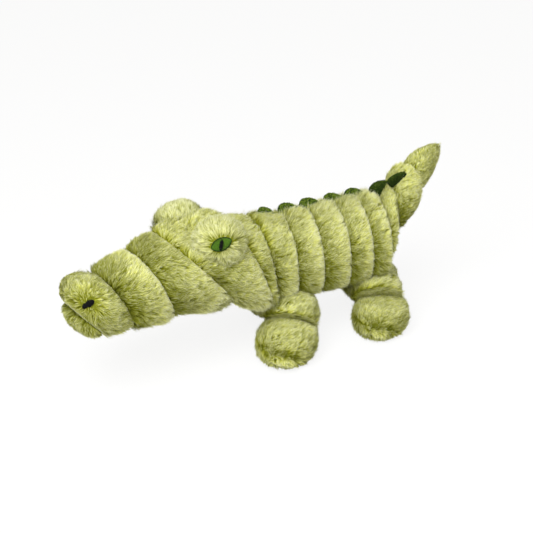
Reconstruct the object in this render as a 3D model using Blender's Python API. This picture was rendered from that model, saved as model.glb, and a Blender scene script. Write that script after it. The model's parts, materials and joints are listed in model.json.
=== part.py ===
"""Alligator plush dog toy: sewn pile-fabric puffs, felt back spikes, embroidered eyes and nostrils."""
import math
from collections import namedtuple

import bmesh
import bpy
import numpy as np
from mathutils import Matrix, Vector

# Body: a chain of stuffed rings from the neck seam back to the tail root
BODY_HEIGHT = 0.100
BODY_HALF_WIDTH = 0.0445
BODY_HALF_HEIGHT = 0.0445
BODY_RING_LENGTH = 0.0298
BODY_RING_LENGTH_SHARES = (1.10, 1.04, 1.08, 0.91, 0.84)
BODY_REAR_RISE = 0.006
NECK_SEAM_X = -0.064
NECK_SEAM_HALF_WIDTH = 0.0490
NECK_SEAM_HALF_HEIGHT = 0.0490
NECK_SEAM_RISE = 0.004
NECK_SEAM_TURN = 5.5
NECK_SEAM_LEAN = 5.0

# Neck and head, measured forward from the neck seam
NECK_LENGTH = 0.0172
NECK_RISE = 0.002
CHEEK_HALF_WIDTH = 0.0550
CHEEK_HALF_HEIGHT = 0.0540
CHEEK_TURN = 9.5
CHEEK_LEAN = 16.5
HEAD_LENGTH = 0.0645
HEAD_RISE = 0.0145
BROW_HALF_WIDTH = 0.0555
BROW_HALF_HEIGHT = 0.0550
BROW_TURN = 16.0
BROW_LEAN = 36.0

# Snout, measured forward from the slanted seam in front of the eyes
SNOUT_REAR_LENGTH = 0.0543
SNOUT_REAR_HALF_WIDTH = 0.0455
SNOUT_REAR_HALF_HEIGHT = 0.0380
SNOUT_REAR_LEAN = 17.0
SNOUT_FRONT_LENGTH = 0.0463
SNOUT_FRONT_HALF_WIDTH = 0.0430
SNOUT_FRONT_HALF_HEIGHT = 0.0340
SNOUT_FRONT_DROP = 0.0037
SNOUT_TURN = 17.0
TIP_LENGTH = 0.0480
TIP_END_HALF_WIDTH = 0.0410
TIP_END_HALF_HEIGHT = 0.0370
TIP_DROP = -0.0015

# Lower lip puff under the front of the tip
JAW_LENGTH = 0.0370
JAW_HALF_WIDTH = 0.0330
JAW_THICKNESS = 0.0150
JAW_LEAN = 42.0
JAW_FORWARD = 0.0330
JAW_DROP = 0.0120

# Tail, measured back from the last body ring
TAIL_BASE_HALF_SIZE = 0.0360
TAIL_ROOT_LENGTH = 0.0165
TAIL_ROOT_RISE = 0.0290
TAIL_ROOT_HALF_WIDTH = 0.0250
TAIL_ROOT_HALF_HEIGHT = 0.0290
TAIL_MIDDLE_LENGTH = 0.0240
TAIL_MIDDLE_RISE = 0.0310
TAIL_MIDDLE_HALF_WIDTH = 0.0200
TAIL_MIDDLE_HALF_HEIGHT = 0.0240
TAIL_MIDDLE_TURN = 24.0
TAIL_MIDDLE_LEAN = 12.0
TAIL_TIP_LENGTH = 0.0410
TAIL_TIP_RISE = 0.0385
TAIL_TIP_END_HALF_WIDTH = 0.0080
TAIL_TIP_END_HALF_HEIGHT = 0.0150
TAIL_TIP_LEAN = 52.0

# How far a puff swells past its seams, and how deep a seam is pulled in
PUFF_SWELL = 0.0015
SEAM_DEPTH = 0.0035
SEAM_GAP = 0.0003
FLEX_ANGLE = 9.0
REST_FLEX_ANGLE = 2.0
NECK_RECESS_SHARE = 0.08
RECESS_LIMIT_SHARE = 1.0 / 3.0
PUFF_FULLNESS_POWER = 0.55

# Eye bumps and the gathered crown between them
BUMP_HALF_LENGTH = 0.0275
BUMP_HALF_WIDTH = 0.0240
BUMP_HALF_HEIGHT = 0.0250
BUMP_FORWARD = 0.0465
BUMP_SPREAD = 0.0380
BUMP_RISE = 0.0550
CROWN_HALF_LENGTH = 0.0240
CROWN_HALF_WIDTH = 0.0200
CROWN_HALF_HEIGHT = 0.0180
BUMP_ROLL = 4.5
BUMP_SHIFT = 0.0015
CROWN_FORWARD = 0.0390
CROWN_RISE = 0.0570

# Eyes: an almond patch with a slit pupil, let into the bump's outer face
EYE_LENGTH = 0.0230
EYE_HEIGHT = 0.0140
EYE_THICKNESS = 0.0022
EYE_TILT = 17.0
EYE_FACE_TURN = 27.0
EYE_FACE_LIFT = 9.0
EYE_SINK = 0.0018
PUPIL_WIDTH = 0.0034
PUPIL_LENGTH = 0.0120
PUPIL_THICKNESS = 0.0012

# Nostrils: embroidered ovals let into the top of the tip
NOSTRIL_LENGTH = 0.0150
NOSTRIL_WIDTH = 0.0080
NOSTRIL_THICKNESS = 0.0020
NOSTRIL_FORWARD = 0.0270
NOSTRIL_SPREAD = 0.0150
NOSTRIL_TILT = -32.0
NOSTRIL_LIFT = 52.0
NOSTRIL_SINK = 0.0016

# Legs: an upper puff pressed into the belly and a foot puff below it
FRONT_HIP_X = -0.0325
REAR_HIP_X = 0.074
FRONT_HIP_SPREAD = 0.0360
REAR_HIP_SPREAD = 0.0310
HIP_DROP = 0.0590
UPPER_LEG_RADIUS = 0.0310
FOOT_HALF_LENGTH = 0.0350
FOOT_HALF_WIDTH = 0.0340
FOOT_HALF_HEIGHT = 0.0250
FRONT_FOOT_SPREAD = 0.0170
REAR_FOOT_SPREAD = 0.0095
REAR_LEG_SHARE = 0.93
ANKLE_SHARE = 0.42
FRONT_FOOT_STEP = 0.0175
REAR_FOOT_STEP = 0.0020
FAR_FRONT_FOOT_STEP = -0.0035
FAR_REAR_FOOT_STEP = -0.0200
SOLE_CUT = 0.0005
HIP_CLEARANCE = 0.0006

# Felt spikes along the centre-back seam, one to a ring
SPIKE_LENGTH = 0.0255
SPIKE_HEIGHT = 0.0150
SPIKE_THICKNESS = 0.0040
SPIKE_ROOT = 0.0040
SPIKE_ROOT_SHARE = 0.62
SPIKE_FRONT_HOLDERS = (0, 1, 1, 1, 1, 0, 1)
SPIKE_REAR_HOLDERS = (0, 0, 0, 0, 0, 1, 0)
SPIKE_SLOT_CLEARANCE = 0.0004
SPIKE_SWEEP_SHARE = -0.15
SPIKE_ALONG_SHARES = (0.56, 0.43, 0.26, 0.18, 0.15, 0.60, 0.12)
SPIKE_SIZE_SHARES = (0.80, 0.96, 1.00, 0.94, 1.00, 0.92, 0.84)
SPINE_ROLLS = (18.0, 18.0, 18.0, 18.0, 18.0, 13.0, 3.0)
SPIKE_EDGE_SHARE = 0.80
SPIKE_FLAT_SHARE = 0.15
SPIKE_MIDDLE_SHARE = 0.40
SPIKE_FULLNESS_POWER = 0.8

# Squeaker in a pocket in the middle body ring
SQUEAKER_RADIUS = 0.0180
SQUEAKER_LENGTH = 0.0170
SQUEAKER_REED_RADIUS = 0.0060
SQUEAKER_REED_LENGTH = 0.0050
SQUEAKER_CLEARANCE = 0.0004
DRUM_RIM_SHARE = 0.90
DRUM_EDGE_SHARE = 0.12

# How finely the puffs are divided
PUFF_SIDES = 20
PUFF_STATIONS = 7
BALL_SIDES = 16
BALL_RINGS = 10
SECTION_POWER = 2.25
FOOT_POWER = 2.5
SOLE_POWER = 10.0
TIP_BLUNTNESS = 2.9
TAIL_BLUNTNESS = 2.1
LEG_SIDES = 24
CUT_OVERRUN = 0.0100
SPIKE_SIDES = 14
ALMOND_SIDES = 18
OVAL_SIDES = 14
ALMOND_CORNER_POWER = 1.35
PLATE_EDGE_SHARE = 0.86
PLATE_MIDDLE_SHARE = 0.55
PLATE_SHOULDER_SHARE = 0.65

Seam = namedtuple("Seam", "place half_width half_height turn lean")


def remove_everything():
    """Start from an empty scene."""
    for thing in list(bpy.data.objects):
        bpy.data.objects.remove(thing, do_unlink=True)


def material(name, colour, roughness, metallic=0.0):
    """A plain Principled material with the part's own colour."""
    made = bpy.data.materials.new(name)
    made.use_nodes = True
    shader = made.node_tree.nodes["Principled BSDF"]
    shader.inputs["Base Color"].default_value = (*colour, 1.0)
    shader.inputs["Roughness"].default_value = roughness
    shader.inputs["Metallic"].default_value = metallic
    made.diffuse_color = (*colour, 1.0)
    return made


def add_object(name, points, faces, surface):
    """Make one named object from points and faces, facing out and shaded smooth."""
    mesh = bpy.data.meshes.new(name)
    mesh.from_pydata([tuple(point) for point in points], [], faces)
    mesh.materials.append(surface)
    made = bpy.data.objects.new(name, mesh)
    bpy.context.scene.collection.objects.link(made)
    shell = bmesh.new()
    shell.from_mesh(mesh)
    bmesh.ops.recalc_face_normals(shell, faces=shell.faces)
    shell.to_mesh(mesh)
    shell.free()
    mesh.shade_smooth()
    return made


def seam_axes(seam):
    """The seam's three directions: along the body to the tail, across to the far side, and up."""
    turn = math.radians(seam.turn)
    lean = math.radians(seam.lean)
    along = Vector((math.cos(turn) * math.cos(lean), math.sin(turn) * math.cos(lean), math.sin(lean)))
    across = Vector((-math.sin(turn), math.cos(turn), 0.0))
    return along, across, along.cross(across)


def section(half_width, half_height, sides, power):
    """A rounded ring of points: a superellipse of the given half width and half height."""
    angle = np.linspace(0.0, 2.0 * np.pi, sides, endpoint=False)
    wide = np.sign(np.cos(angle)) * np.abs(np.cos(angle)) ** (2.0 / power)
    high = np.sign(np.sin(angle)) * np.abs(np.sin(angle)) ** (2.0 / power)
    return half_width * wide, half_height * high


def loft(rings, start_point, end_point):
    """Join rings of equal count into one closed skin with a fan at each end."""
    sides = len(rings[0])
    points = [point for ring in rings for point in ring]
    faces = []
    for row in range(len(rings) - 1):
        for side in range(sides):
            after = (side + 1) % sides
            low, high = row * sides, (row + 1) * sides
            faces.append((low + side, low + after, high + after, high + side))
    first, last = len(points), len(points) + 1
    points += [start_point, end_point]
    top = (len(rings) - 1) * sides
    for side in range(sides):
        after = (side + 1) % sides
        faces.append((first, after, side))
        faces.append((last, top + side, top + after))
    return points, faces


def blend_seams(front, back, share):
    """The in-between seam at a share of the way from one seam to the next."""
    mixed = [one + (two - one) * share for one, two in zip(front[1:], back[1:])]
    return Seam(front.place.lerp(back.place, share), *mixed)


def puff_skin(front, back, swell, front_flex, back_flex):
    """A stuffed ring between two seams: pulled in at both, round in between, coned to clear the next."""
    depth_share = np.sin(np.linspace(0.0, np.pi, PUFF_STATIONS)) ** PUFF_FULLNESS_POWER
    along_share = (1.0 - np.cos(np.linspace(0.0, np.pi, PUFF_STATIONS))) / 2.0
    limit = (back.place - front.place).length * RECESS_LIMIT_SHARE
    front_room = min(max(front.half_width, front.half_height) * math.tan(math.radians(front_flex)), limit)
    back_room = min(max(back.half_width, back.half_height) * math.tan(math.radians(back_flex)), limit)
    rings = []
    for share, depth in zip(along_share, depth_share):
        seam = blend_seams(front, back, share)
        along, across, up = seam_axes(seam)
        grow = swell * depth - SEAM_DEPTH * (1.0 - depth)
        room = along * ((front_room + SEAM_GAP / 2.0) * (1.0 - share) - (back_room + SEAM_GAP / 2.0) * share)
        wide, high = section(seam.half_width + grow, seam.half_height + grow, PUFF_SIDES, SECTION_POWER)
        rings.append([seam.place + room + across * w + up * h for w, h in zip(wide, high)])
    start = front.place + seam_axes(front)[0] * (SEAM_GAP / 2.0)
    end = back.place - seam_axes(back)[0] * (SEAM_GAP / 2.0)
    return loft(rings, start, end)


def puff(name, front, back, surface, swell=PUFF_SWELL, front_flex=REST_FLEX_ANGLE, back_flex=REST_FLEX_ANGLE):
    """One ring of the chain as an object."""
    points, faces = puff_skin(front, back, swell, front_flex, back_flex)
    return add_object(name, points, faces, surface)


def end_puff(name, base, end, surface, bluntness=TIP_BLUNTNESS, base_flex=REST_FLEX_ANGLE):
    """A closed puff at the end of the chain: it leaves its seam, swells and rounds off at the end seam."""
    along_share = np.sin(np.linspace(0.0, np.pi / 2.0, PUFF_STATIONS + 2)) ** (2.0 / bluntness)
    close_share = np.cos(np.linspace(0.0, np.pi / 2.0, PUFF_STATIONS + 2)) ** (2.0 / bluntness)
    outward = (end.place - base.place).normalized()
    side = 1.0 if outward.dot(seam_axes(base)[0]) > 0.0 else -1.0
    room = max(base.half_width, base.half_height) * math.tan(math.radians(base_flex))
    rings = []
    for step in range(PUFF_STATIONS + 1):
        share, close = along_share[step], close_share[step]
        seam = blend_seams(base, end, share)
        along, across, up = seam_axes(seam)
        pull = SEAM_DEPTH * (1.0 - share) ** 3
        half_width, half_height = seam.half_width * close - pull, seam.half_height * close - pull
        wide, high = section(half_width, half_height, PUFF_SIDES, SECTION_POWER)
        shift = along * side * (room + SEAM_GAP / 2.0) * (1.0 - share)
        rings.append([seam.place + shift + across * w + up * h for w, h in zip(wide, high)])
    start = base.place + seam_axes(base)[0] * side * SEAM_GAP / 2.0
    points, faces = loft(rings, start, end.place)
    return add_object(name, points, faces, surface)


def ball(name, centre, halves, axes, surface, power=2.0, low_power=None, sides=BALL_SIDES):
    """A closed round puff: a superellipsoid on its own directions, its lower half flatter if asked."""
    tilt = np.linspace(-np.pi / 2.0, np.pi / 2.0, BALL_RINGS + 1)[1:-1]
    rings = []
    for angle in tilt:
        roundness = low_power if low_power and angle < 0.0 else power
        reach = abs(math.cos(angle)) ** (2.0 / roundness)
        rise = math.copysign(abs(math.sin(angle)) ** (2.0 / roundness), angle)
        wide, deep = section(halves[0] * reach, halves[1] * reach, sides, 2.0)
        rings.append([centre + axes[0] * w + axes[1] * d + axes[2] * (halves[2] * rise)
                      for w, d in zip(wide, deep)])
    points, faces = loft(rings, centre - axes[2] * halves[2], centre + axes[2] * halves[2])
    return add_object(name, points, faces, surface)


def box(name, centre, halves, axes):
    """A plain block used for cutting."""
    points = []
    for z in (-1, 1):
        for x, y in ((-1, -1), (1, -1), (1, 1), (-1, 1)):
            corner = axes[0] * (x * halves[0]) + axes[1] * (y * halves[1]) + axes[2] * (z * halves[2])
            points.append(centre + corner)
    faces = [(0, 3, 2, 1), (4, 5, 6, 7), (0, 1, 5, 4), (1, 2, 6, 5), (2, 3, 7, 6), (3, 0, 4, 7)]
    return add_object(name, points, faces, SURFACES["cutter"])


def as_cutter(thing):
    """Hide a cutting body from the finished model."""
    thing.hide_render = True
    thing.display_type = "WIRE"
    return thing


def cut(target, cutter):
    """Take one body away from another."""
    step = target.modifiers.new("Cut " + cutter.name, "BOOLEAN")
    step.operation = "DIFFERENCE"
    step.solver = "EXACT"
    step.object = cutter
    as_cutter(cutter)


def plate(name, outline, bottom, top, seat, axes, surface, bend_radius, edge_share=PLATE_EDGE_SHARE):
    """A thin patch bent over a ball: an outline with a smaller top, between two heights over its seat."""
    inner, outer = PLATE_MIDDLE_SHARE, 1.0
    levels = ((inner, 0.0), (outer, 0.0), (outer, PLATE_SHOULDER_SHARE), (edge_share, 1.0), (inner, 1.0))
    rings = []
    for spread_share, level_share in levels:
        ring = []
        for x, y in outline:
            wide, high = x * spread_share, y * spread_share
            droop = (wide ** 2 + high ** 2) / (2.0 * bend_radius)
            level = bottom + (top - bottom) * level_share - droop
            ring.append(seat + axes[0] * wide + axes[1] * high + axes[2] * level)
        rings.append(ring)
    points, faces = loft(rings, seat + axes[2] * bottom, seat + axes[2] * top)
    return add_object(name, points, faces, surface)


def almond(length, height, count=ALMOND_SIDES):
    """Points round an almond: two arcs that meet in blunt corners."""
    angle = np.linspace(0.0, 2.0 * np.pi, count, endpoint=False)
    across = np.cos(angle) * length / 2.0
    up = np.sign(np.sin(angle)) * np.abs(np.sin(angle)) ** ALMOND_CORNER_POWER * height / 2.0
    return list(zip(across, up))


def oval(length, height, count=OVAL_SIDES):
    """Points round a plain oval."""
    angle = np.linspace(0.0, 2.0 * np.pi, count, endpoint=False)
    return list(zip(np.cos(angle) * length / 2.0, np.sin(angle) * height / 2.0))


def heading(turn):
    """A level direction to the tail, turned to the far side by this many degrees."""
    return Vector((math.cos(math.radians(turn)), math.sin(math.radians(turn)), 0.0))


def body_seams():
    """The seams of the five body rings, from the neck seam to the tail root."""
    neck = Seam(Vector((NECK_SEAM_X, 0.0, BODY_HEIGHT + NECK_SEAM_RISE)), NECK_SEAM_HALF_WIDTH,
                NECK_SEAM_HALF_HEIGHT, NECK_SEAM_TURN, NECK_SEAM_LEAN)
    seams = [neck]
    place = NECK_SEAM_X
    total = sum(BODY_RING_LENGTH_SHARES)
    walked = 0.0
    for share in BODY_RING_LENGTH_SHARES:
        walked += share
        place += BODY_RING_LENGTH * share
        rise = BODY_REAR_RISE * walked / total
        spot = Vector((place, 0.0, BODY_HEIGHT + rise))
        seams.append(Seam(spot, BODY_HALF_WIDTH, BODY_HALF_HEIGHT, 0.0, 0.0))
    return seams


def head_seams(neck):
    """The seams forward of the neck: cheek, brow, rear snout and front snout."""
    middle = (neck.turn + CHEEK_TURN) / 2.0
    cheek_place = neck.place - heading(middle) * NECK_LENGTH + Vector((0.0, 0.0, NECK_RISE))
    cheek = Seam(cheek_place, CHEEK_HALF_WIDTH, CHEEK_HALF_HEIGHT, CHEEK_TURN, CHEEK_LEAN)
    middle = (CHEEK_TURN + BROW_TURN) / 2.0
    brow_place = cheek_place - heading(middle) * HEAD_LENGTH + Vector((0.0, 0.0, HEAD_RISE))
    brow = Seam(brow_place, BROW_HALF_WIDTH, BROW_HALF_HEIGHT, BROW_TURN, BROW_LEAN)
    rear_place = brow_place - heading(SNOUT_TURN) * SNOUT_REAR_LENGTH
    rear = Seam(rear_place, SNOUT_REAR_HALF_WIDTH, SNOUT_REAR_HALF_HEIGHT, SNOUT_TURN, SNOUT_REAR_LEAN)
    front_place = rear_place - heading(SNOUT_TURN) * SNOUT_FRONT_LENGTH - Vector((0.0, 0.0, SNOUT_FRONT_DROP))
    front = Seam(front_place, SNOUT_FRONT_HALF_WIDTH, SNOUT_FRONT_HALF_HEIGHT, SNOUT_TURN, SNOUT_REAR_LEAN)
    tip_place = front_place - heading(SNOUT_TURN) * TIP_LENGTH - Vector((0.0, 0.0, TIP_DROP))
    tip = Seam(tip_place, TIP_END_HALF_WIDTH, TIP_END_HALF_HEIGHT, SNOUT_TURN, SNOUT_REAR_LEAN)
    return cheek, brow, rear, front, tip


def tail_seams(root):
    """The seams behind the last body ring: tail root, tail middle and the tip."""
    root_place = root.place + Vector((TAIL_ROOT_LENGTH, 0.0, TAIL_ROOT_RISE))
    first = Seam(root_place, TAIL_ROOT_HALF_WIDTH, TAIL_ROOT_HALF_HEIGHT, 0.0, 0.0)
    middle_place = root_place + heading(TAIL_MIDDLE_TURN / 2.0) * TAIL_MIDDLE_LENGTH
    middle_place = middle_place + Vector((0.0, 0.0, TAIL_MIDDLE_RISE))
    second = Seam(middle_place, TAIL_MIDDLE_HALF_WIDTH, TAIL_MIDDLE_HALF_HEIGHT,
                  TAIL_MIDDLE_TURN, TAIL_MIDDLE_LEAN)
    tip_place = middle_place + heading(TAIL_MIDDLE_TURN / 2.0) * TAIL_TIP_LENGTH
    tip_place = tip_place + Vector((0.0, 0.0, TAIL_TIP_RISE))
    tip = Seam(tip_place, TAIL_TIP_END_HALF_WIDTH, TAIL_TIP_END_HALF_HEIGHT, TAIL_MIDDLE_TURN, TAIL_TIP_LEAN)
    return first, second, tip


def head_frame():
    """The head's own directions at the eyes: to the tail, to the far side and a little down, and up."""
    along = heading(BROW_TURN)
    roll = math.radians(BUMP_ROLL)
    level, plumb = Vector((-along.y, along.x, 0.0)), Vector((0.0, 0.0, 1.0))
    across = level * math.cos(roll) - plumb * math.sin(roll)
    return along, across, along.cross(across)


SURFACES = {}


def make_surfaces():
    """The five finishes of the toy and one for cutting bodies."""
    SURFACES["pile"] = material("Pile fabric", (0.46, 0.50, 0.13), 0.95)
    SURFACES["felt"] = material("Spike felt", (0.055, 0.13, 0.035), 0.9)
    SURFACES["iris"] = material("Iris thread", (0.10, 0.22, 0.04), 0.5)
    SURFACES["thread"] = material("Black thread", (0.012, 0.013, 0.016), 0.5)
    SURFACES["squeaker"] = material("Squeaker plastic", (0.80, 0.80, 0.76), 0.4)
    SURFACES["cutter"] = material("Cutting body", (0.5, 0.5, 0.5), 0.5)


def build_body(seams):
    """The five body rings."""
    rings = []
    for number in range(len(seams) - 1):
        front_flex = FLEX_ANGLE * (1.0 - NECK_RECESS_SHARE) if number == 0 else REST_FLEX_ANGLE
        back_flex = FLEX_ANGLE / 2.0 if number == len(seams) - 2 else REST_FLEX_ANGLE
        rings.append(puff("body_ring_%d" % (number + 1), seams[number], seams[number + 1], SURFACES["pile"],
                          front_flex=front_flex, back_flex=back_flex))
    return rings


def build_squeaker(ring, front, back):
    """A bulb and its reed in a pocket that opens at the ring's front seam."""
    middle = (front.place + back.place) / 2.0
    along = Vector((1.0, 0.0, 0.0))
    axes = (Vector((0.0, 1.0, 0.0)), Vector((0.0, 0.0, 1.0)), along)
    room = SQUEAKER_CLEARANCE
    pocket_end = middle + along * (SQUEAKER_LENGTH / 2.0 + room)
    pocket_start = middle - along * (middle.x - front.place.x + CUT_OVERRUN)
    pocket = turned("pocket_cutter", pocket_start, pocket_end, SQUEAKER_RADIUS + room, axes,
                    SURFACES["cutter"], 1.0)
    cut(ring, pocket)
    bulb_start = middle - along * SQUEAKER_LENGTH / 2.0
    bulb_end = middle + along * SQUEAKER_LENGTH / 2.0
    turned("squeaker_bulb", bulb_start, bulb_end, SQUEAKER_RADIUS, axes, SURFACES["squeaker"])
    reed_end = bulb_start - along * SEAM_GAP
    reed_start = reed_end - along * SQUEAKER_REED_LENGTH
    turned("squeaker_reed", reed_start, reed_end, SQUEAKER_REED_RADIUS, axes, SURFACES["squeaker"])


def turned(name, start, end, radius, axes, surface, rim_share=DRUM_RIM_SHARE):
    """A short round drum between two points, its rims softened by a share."""
    length = (end - start).length
    near, far = DRUM_EDGE_SHARE, 1.0 - DRUM_EDGE_SHARE
    rings = []
    for along_share, radius_share in ((0.0, rim_share), (near, 1.0), (far, 1.0), (1.0, rim_share)):
        wide, high = section(radius * radius_share, radius * radius_share, BALL_SIDES, 2.0)
        place = start + axes[2] * (length * along_share)
        rings.append([place + axes[0] * w + axes[1] * h for w, h in zip(wide, high)])
    points, faces = loft(rings, start, end)
    return add_object(name, points, faces, surface)


def build_head(neck, cheek, brow, rear, front, tip):
    """Neck ring, head, two snout rings and the tip."""
    pile = SURFACES["pile"]
    recess = FLEX_ANGLE * NECK_RECESS_SHARE
    neck_ring = puff("neck_ring", cheek, neck, pile, front_flex=recess, back_flex=recess)
    head = puff("head", brow, cheek, pile)
    snout_rear = puff("snout_ring_rear", rear, brow, pile)
    snout_front = puff("snout_ring_front", front, rear, pile)
    snout_tip = end_puff("snout_tip", front, tip, pile)
    return neck_ring, head, snout_rear, snout_front, snout_tip


def build_jaw(front, snout_tip):
    """The lower lip: a flattened puff behind a slanted mouth seam, with the tip cut back over it."""
    along = heading(SNOUT_TURN)
    across = Vector((-along.y, along.x, 0.0))
    lean = math.radians(JAW_LEAN)
    up = Vector((0.0, 0.0, 1.0))
    slope = (along * math.sin(lean) - up * math.cos(lean)).normalized()
    normal = slope.cross(across).normalized()
    if normal.dot(along) > 0.0:
        normal = -normal
    seat = front.place - along * JAW_FORWARD - up * JAW_DROP
    block_half = JAW_LENGTH
    block_halves = (block_half, block_half, block_half)
    chop = box("mouth_cutter", seat + normal * block_half, block_halves, (slope, across, normal))
    cut(snout_tip, chop)
    halves = (JAW_LENGTH / 2.0, JAW_HALF_WIDTH, JAW_THICKNESS)
    jaw = ball("lower_jaw", seat + normal * SEAM_GAP, halves, (slope, across, normal), SURFACES["pile"])
    floor = box("jaw_cutter", seat + normal * (SEAM_GAP - block_half), block_halves, (slope, across, normal))
    cut(jaw, floor)
    return jaw


def build_bumps(cheek):
    """Two eye bumps and the crown between them, each cut by what is larger."""
    along, across, up = head_frame()
    base = cheek.place - along * BUMP_FORWARD + up * BUMP_RISE + across * BUMP_SHIFT
    halves = (BUMP_HALF_LENGTH, BUMP_HALF_WIDTH, BUMP_HALF_HEIGHT)
    bumps = {}
    for side, sign in (("left", -1.0), ("right", 1.0)):
        bumps[side] = ball("eye_bump_" + side, base + across * (sign * BUMP_SPREAD), halves,
                           (along, across, up), SURFACES["pile"])
    crown_place = cheek.place - along * CROWN_FORWARD + up * CROWN_RISE
    crown = ball("crown", crown_place, (CROWN_HALF_LENGTH, CROWN_HALF_WIDTH, CROWN_HALF_HEIGHT),
                 (along, across, up), SURFACES["pile"])
    roomy = tuple(half + SEAM_GAP for half in halves)
    for side, sign in (("left", -1.0), ("right", 1.0)):
        cutter = ball("bump_cutter_" + side, base + across * (sign * BUMP_SPREAD), roomy, (along, across, up),
                      SURFACES["cutter"])
        cut(crown, cutter)
    return bumps, crown, base


def grown(name, front, back, grow, **flexes):
    """A copy of a ring's body grown by a gap, for cutting what is pressed against it."""
    bigger_front = front._replace(half_width=front.half_width + grow, half_height=front.half_height + grow)
    bigger_back = back._replace(half_width=back.half_width + grow, half_height=back.half_height + grow)
    length = (back.place - front.place).normalized() * SEAM_GAP
    bigger_front = bigger_front._replace(place=front.place - length)
    bigger_back = bigger_back._replace(place=back.place + length)
    return as_cutter(puff(name, bigger_front, bigger_back, SURFACES["cutter"], **flexes))


def build_eyes(bumps, base):
    """The almond patches with their slit pupils, let into the outer face of each bump."""
    along, across, up = head_frame()
    for side, sign in (("left", -1.0), ("right", 1.0)):
        turn, lift = math.radians(EYE_FACE_TURN), math.radians(EYE_FACE_LIFT)
        level_out = across * sign * math.cos(turn) - along * math.sin(turn)
        outward = (level_out * math.cos(lift) + up * math.sin(lift)).normalized()
        level = up.cross(outward).normalized()
        if level.dot(along) < 0.0:
            level = -level
        rise = outward.cross(level).normalized()
        if rise.z < 0.0:
            rise = -rise
        tilt = math.radians(EYE_TILT)
        long_way = (level * math.cos(tilt) + rise * math.sin(tilt)).normalized()
        short_way = (rise * math.cos(tilt) - level * math.sin(tilt)).normalized()
        centre = base + across * (sign * BUMP_SPREAD)
        reach = 1.0 / math.sqrt((outward.dot(along) / BUMP_HALF_LENGTH) ** 2
                                + (outward.dot(across) / BUMP_HALF_WIDTH) ** 2
                                + (outward.dot(up) / BUMP_HALF_HEIGHT) ** 2)
        floor = centre + outward * (reach - EYE_SINK)
        patch_axes = (long_way, short_way, outward)
        room = SEAM_GAP
        recess_outline = almond(EYE_LENGTH + 2.0 * room, EYE_HEIGHT + 2.0 * room)
        recess = plate("eye_recess_" + side, recess_outline, 0.0, CUT_OVERRUN, floor, patch_axes,
                       SURFACES["cutter"], BUMP_HALF_LENGTH, edge_share=1.0)
        cut(bumps[side], recess)
        iris_top = room + EYE_THICKNESS
        plate("eye_iris_" + side, almond(EYE_LENGTH, EYE_HEIGHT), room, iris_top, floor, patch_axes,
              SURFACES["iris"], BUMP_HALF_LENGTH)
        upright = (rise, -level, outward)
        pupil_bottom = iris_top + room
        plate("eye_pupil_" + side, oval(PUPIL_LENGTH, PUPIL_WIDTH), pupil_bottom,
              pupil_bottom + PUPIL_THICKNESS, floor, upright, SURFACES["thread"], BUMP_HALF_LENGTH)


def build_nostrils(front, tip, snout_tip):
    """Two embroidered ovals let into the top of the snout tip."""
    along = heading(SNOUT_TURN)
    across = Vector((-along.y, along.x, 0.0))
    up = Vector((0.0, 0.0, 1.0))
    for side, sign in (("left", -1.0), ("right", 1.0)):
        lift = math.radians(NOSTRIL_LIFT)
        outward = (up * math.sin(lift) + (across * sign - along).normalized() * math.cos(lift)).normalized()
        target = front.place - along * NOSTRIL_FORWARD + across * (sign * NOSTRIL_SPREAD)
        place, normal = cast_on(snout_tip, target, outward)
        seat = place - normal * NOSTRIL_SINK
        level = up.cross(normal).normalized()
        rise = normal.cross(level).normalized()
        tilt = math.radians(NOSTRIL_TILT) * sign
        long_way = level * math.cos(tilt) + rise * math.sin(tilt)
        short_way = rise * math.cos(tilt) - level * math.sin(tilt)
        axes = (long_way, short_way, normal)
        room = SEAM_GAP
        outline = oval(NOSTRIL_LENGTH + 2.0 * room, NOSTRIL_WIDTH + 2.0 * room)
        recess = plate("nostril_recess_" + side, outline, 0.0, CUT_OVERRUN, seat, axes, SURFACES["cutter"],
                       TIP_END_HALF_WIDTH, edge_share=1.0)
        cut(snout_tip, recess)
        plate("nostril_" + side, oval(NOSTRIL_LENGTH, NOSTRIL_WIDTH), room, room + NOSTRIL_THICKNESS,
              seat, axes, SURFACES["thread"], TIP_END_HALF_WIDTH)


def cast_on(thing, inside, direction):
    """Where a ray from inside a body leaves its uncut skin, and the way the skin faces there."""
    mesh = thing.data
    best = None
    for face in mesh.polygons:
        corners = [mesh.vertices[number].co for number in face.vertices]
        for third in range(2, len(corners)):
            one, two, three = corners[0], corners[third - 1], corners[third]
            normal = (two - one).cross(three - one)
            slope = normal.dot(direction)
            if slope <= 0.0:
                continue
            distance = normal.dot(one - inside) / slope
            spot = inside + direction * distance
            inside_all = all((end - begin).cross(spot - begin).dot(normal) >= 0.0
                             for begin, end in ((one, two), (two, three), (three, one)))
            if distance > 0.0 and inside_all and (best is None or distance > best[0]):
                best = (distance, spot, normal.normalized())
    if best is None:
        raise ValueError("no skin in that direction")
    return best[1], best[2]


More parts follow.
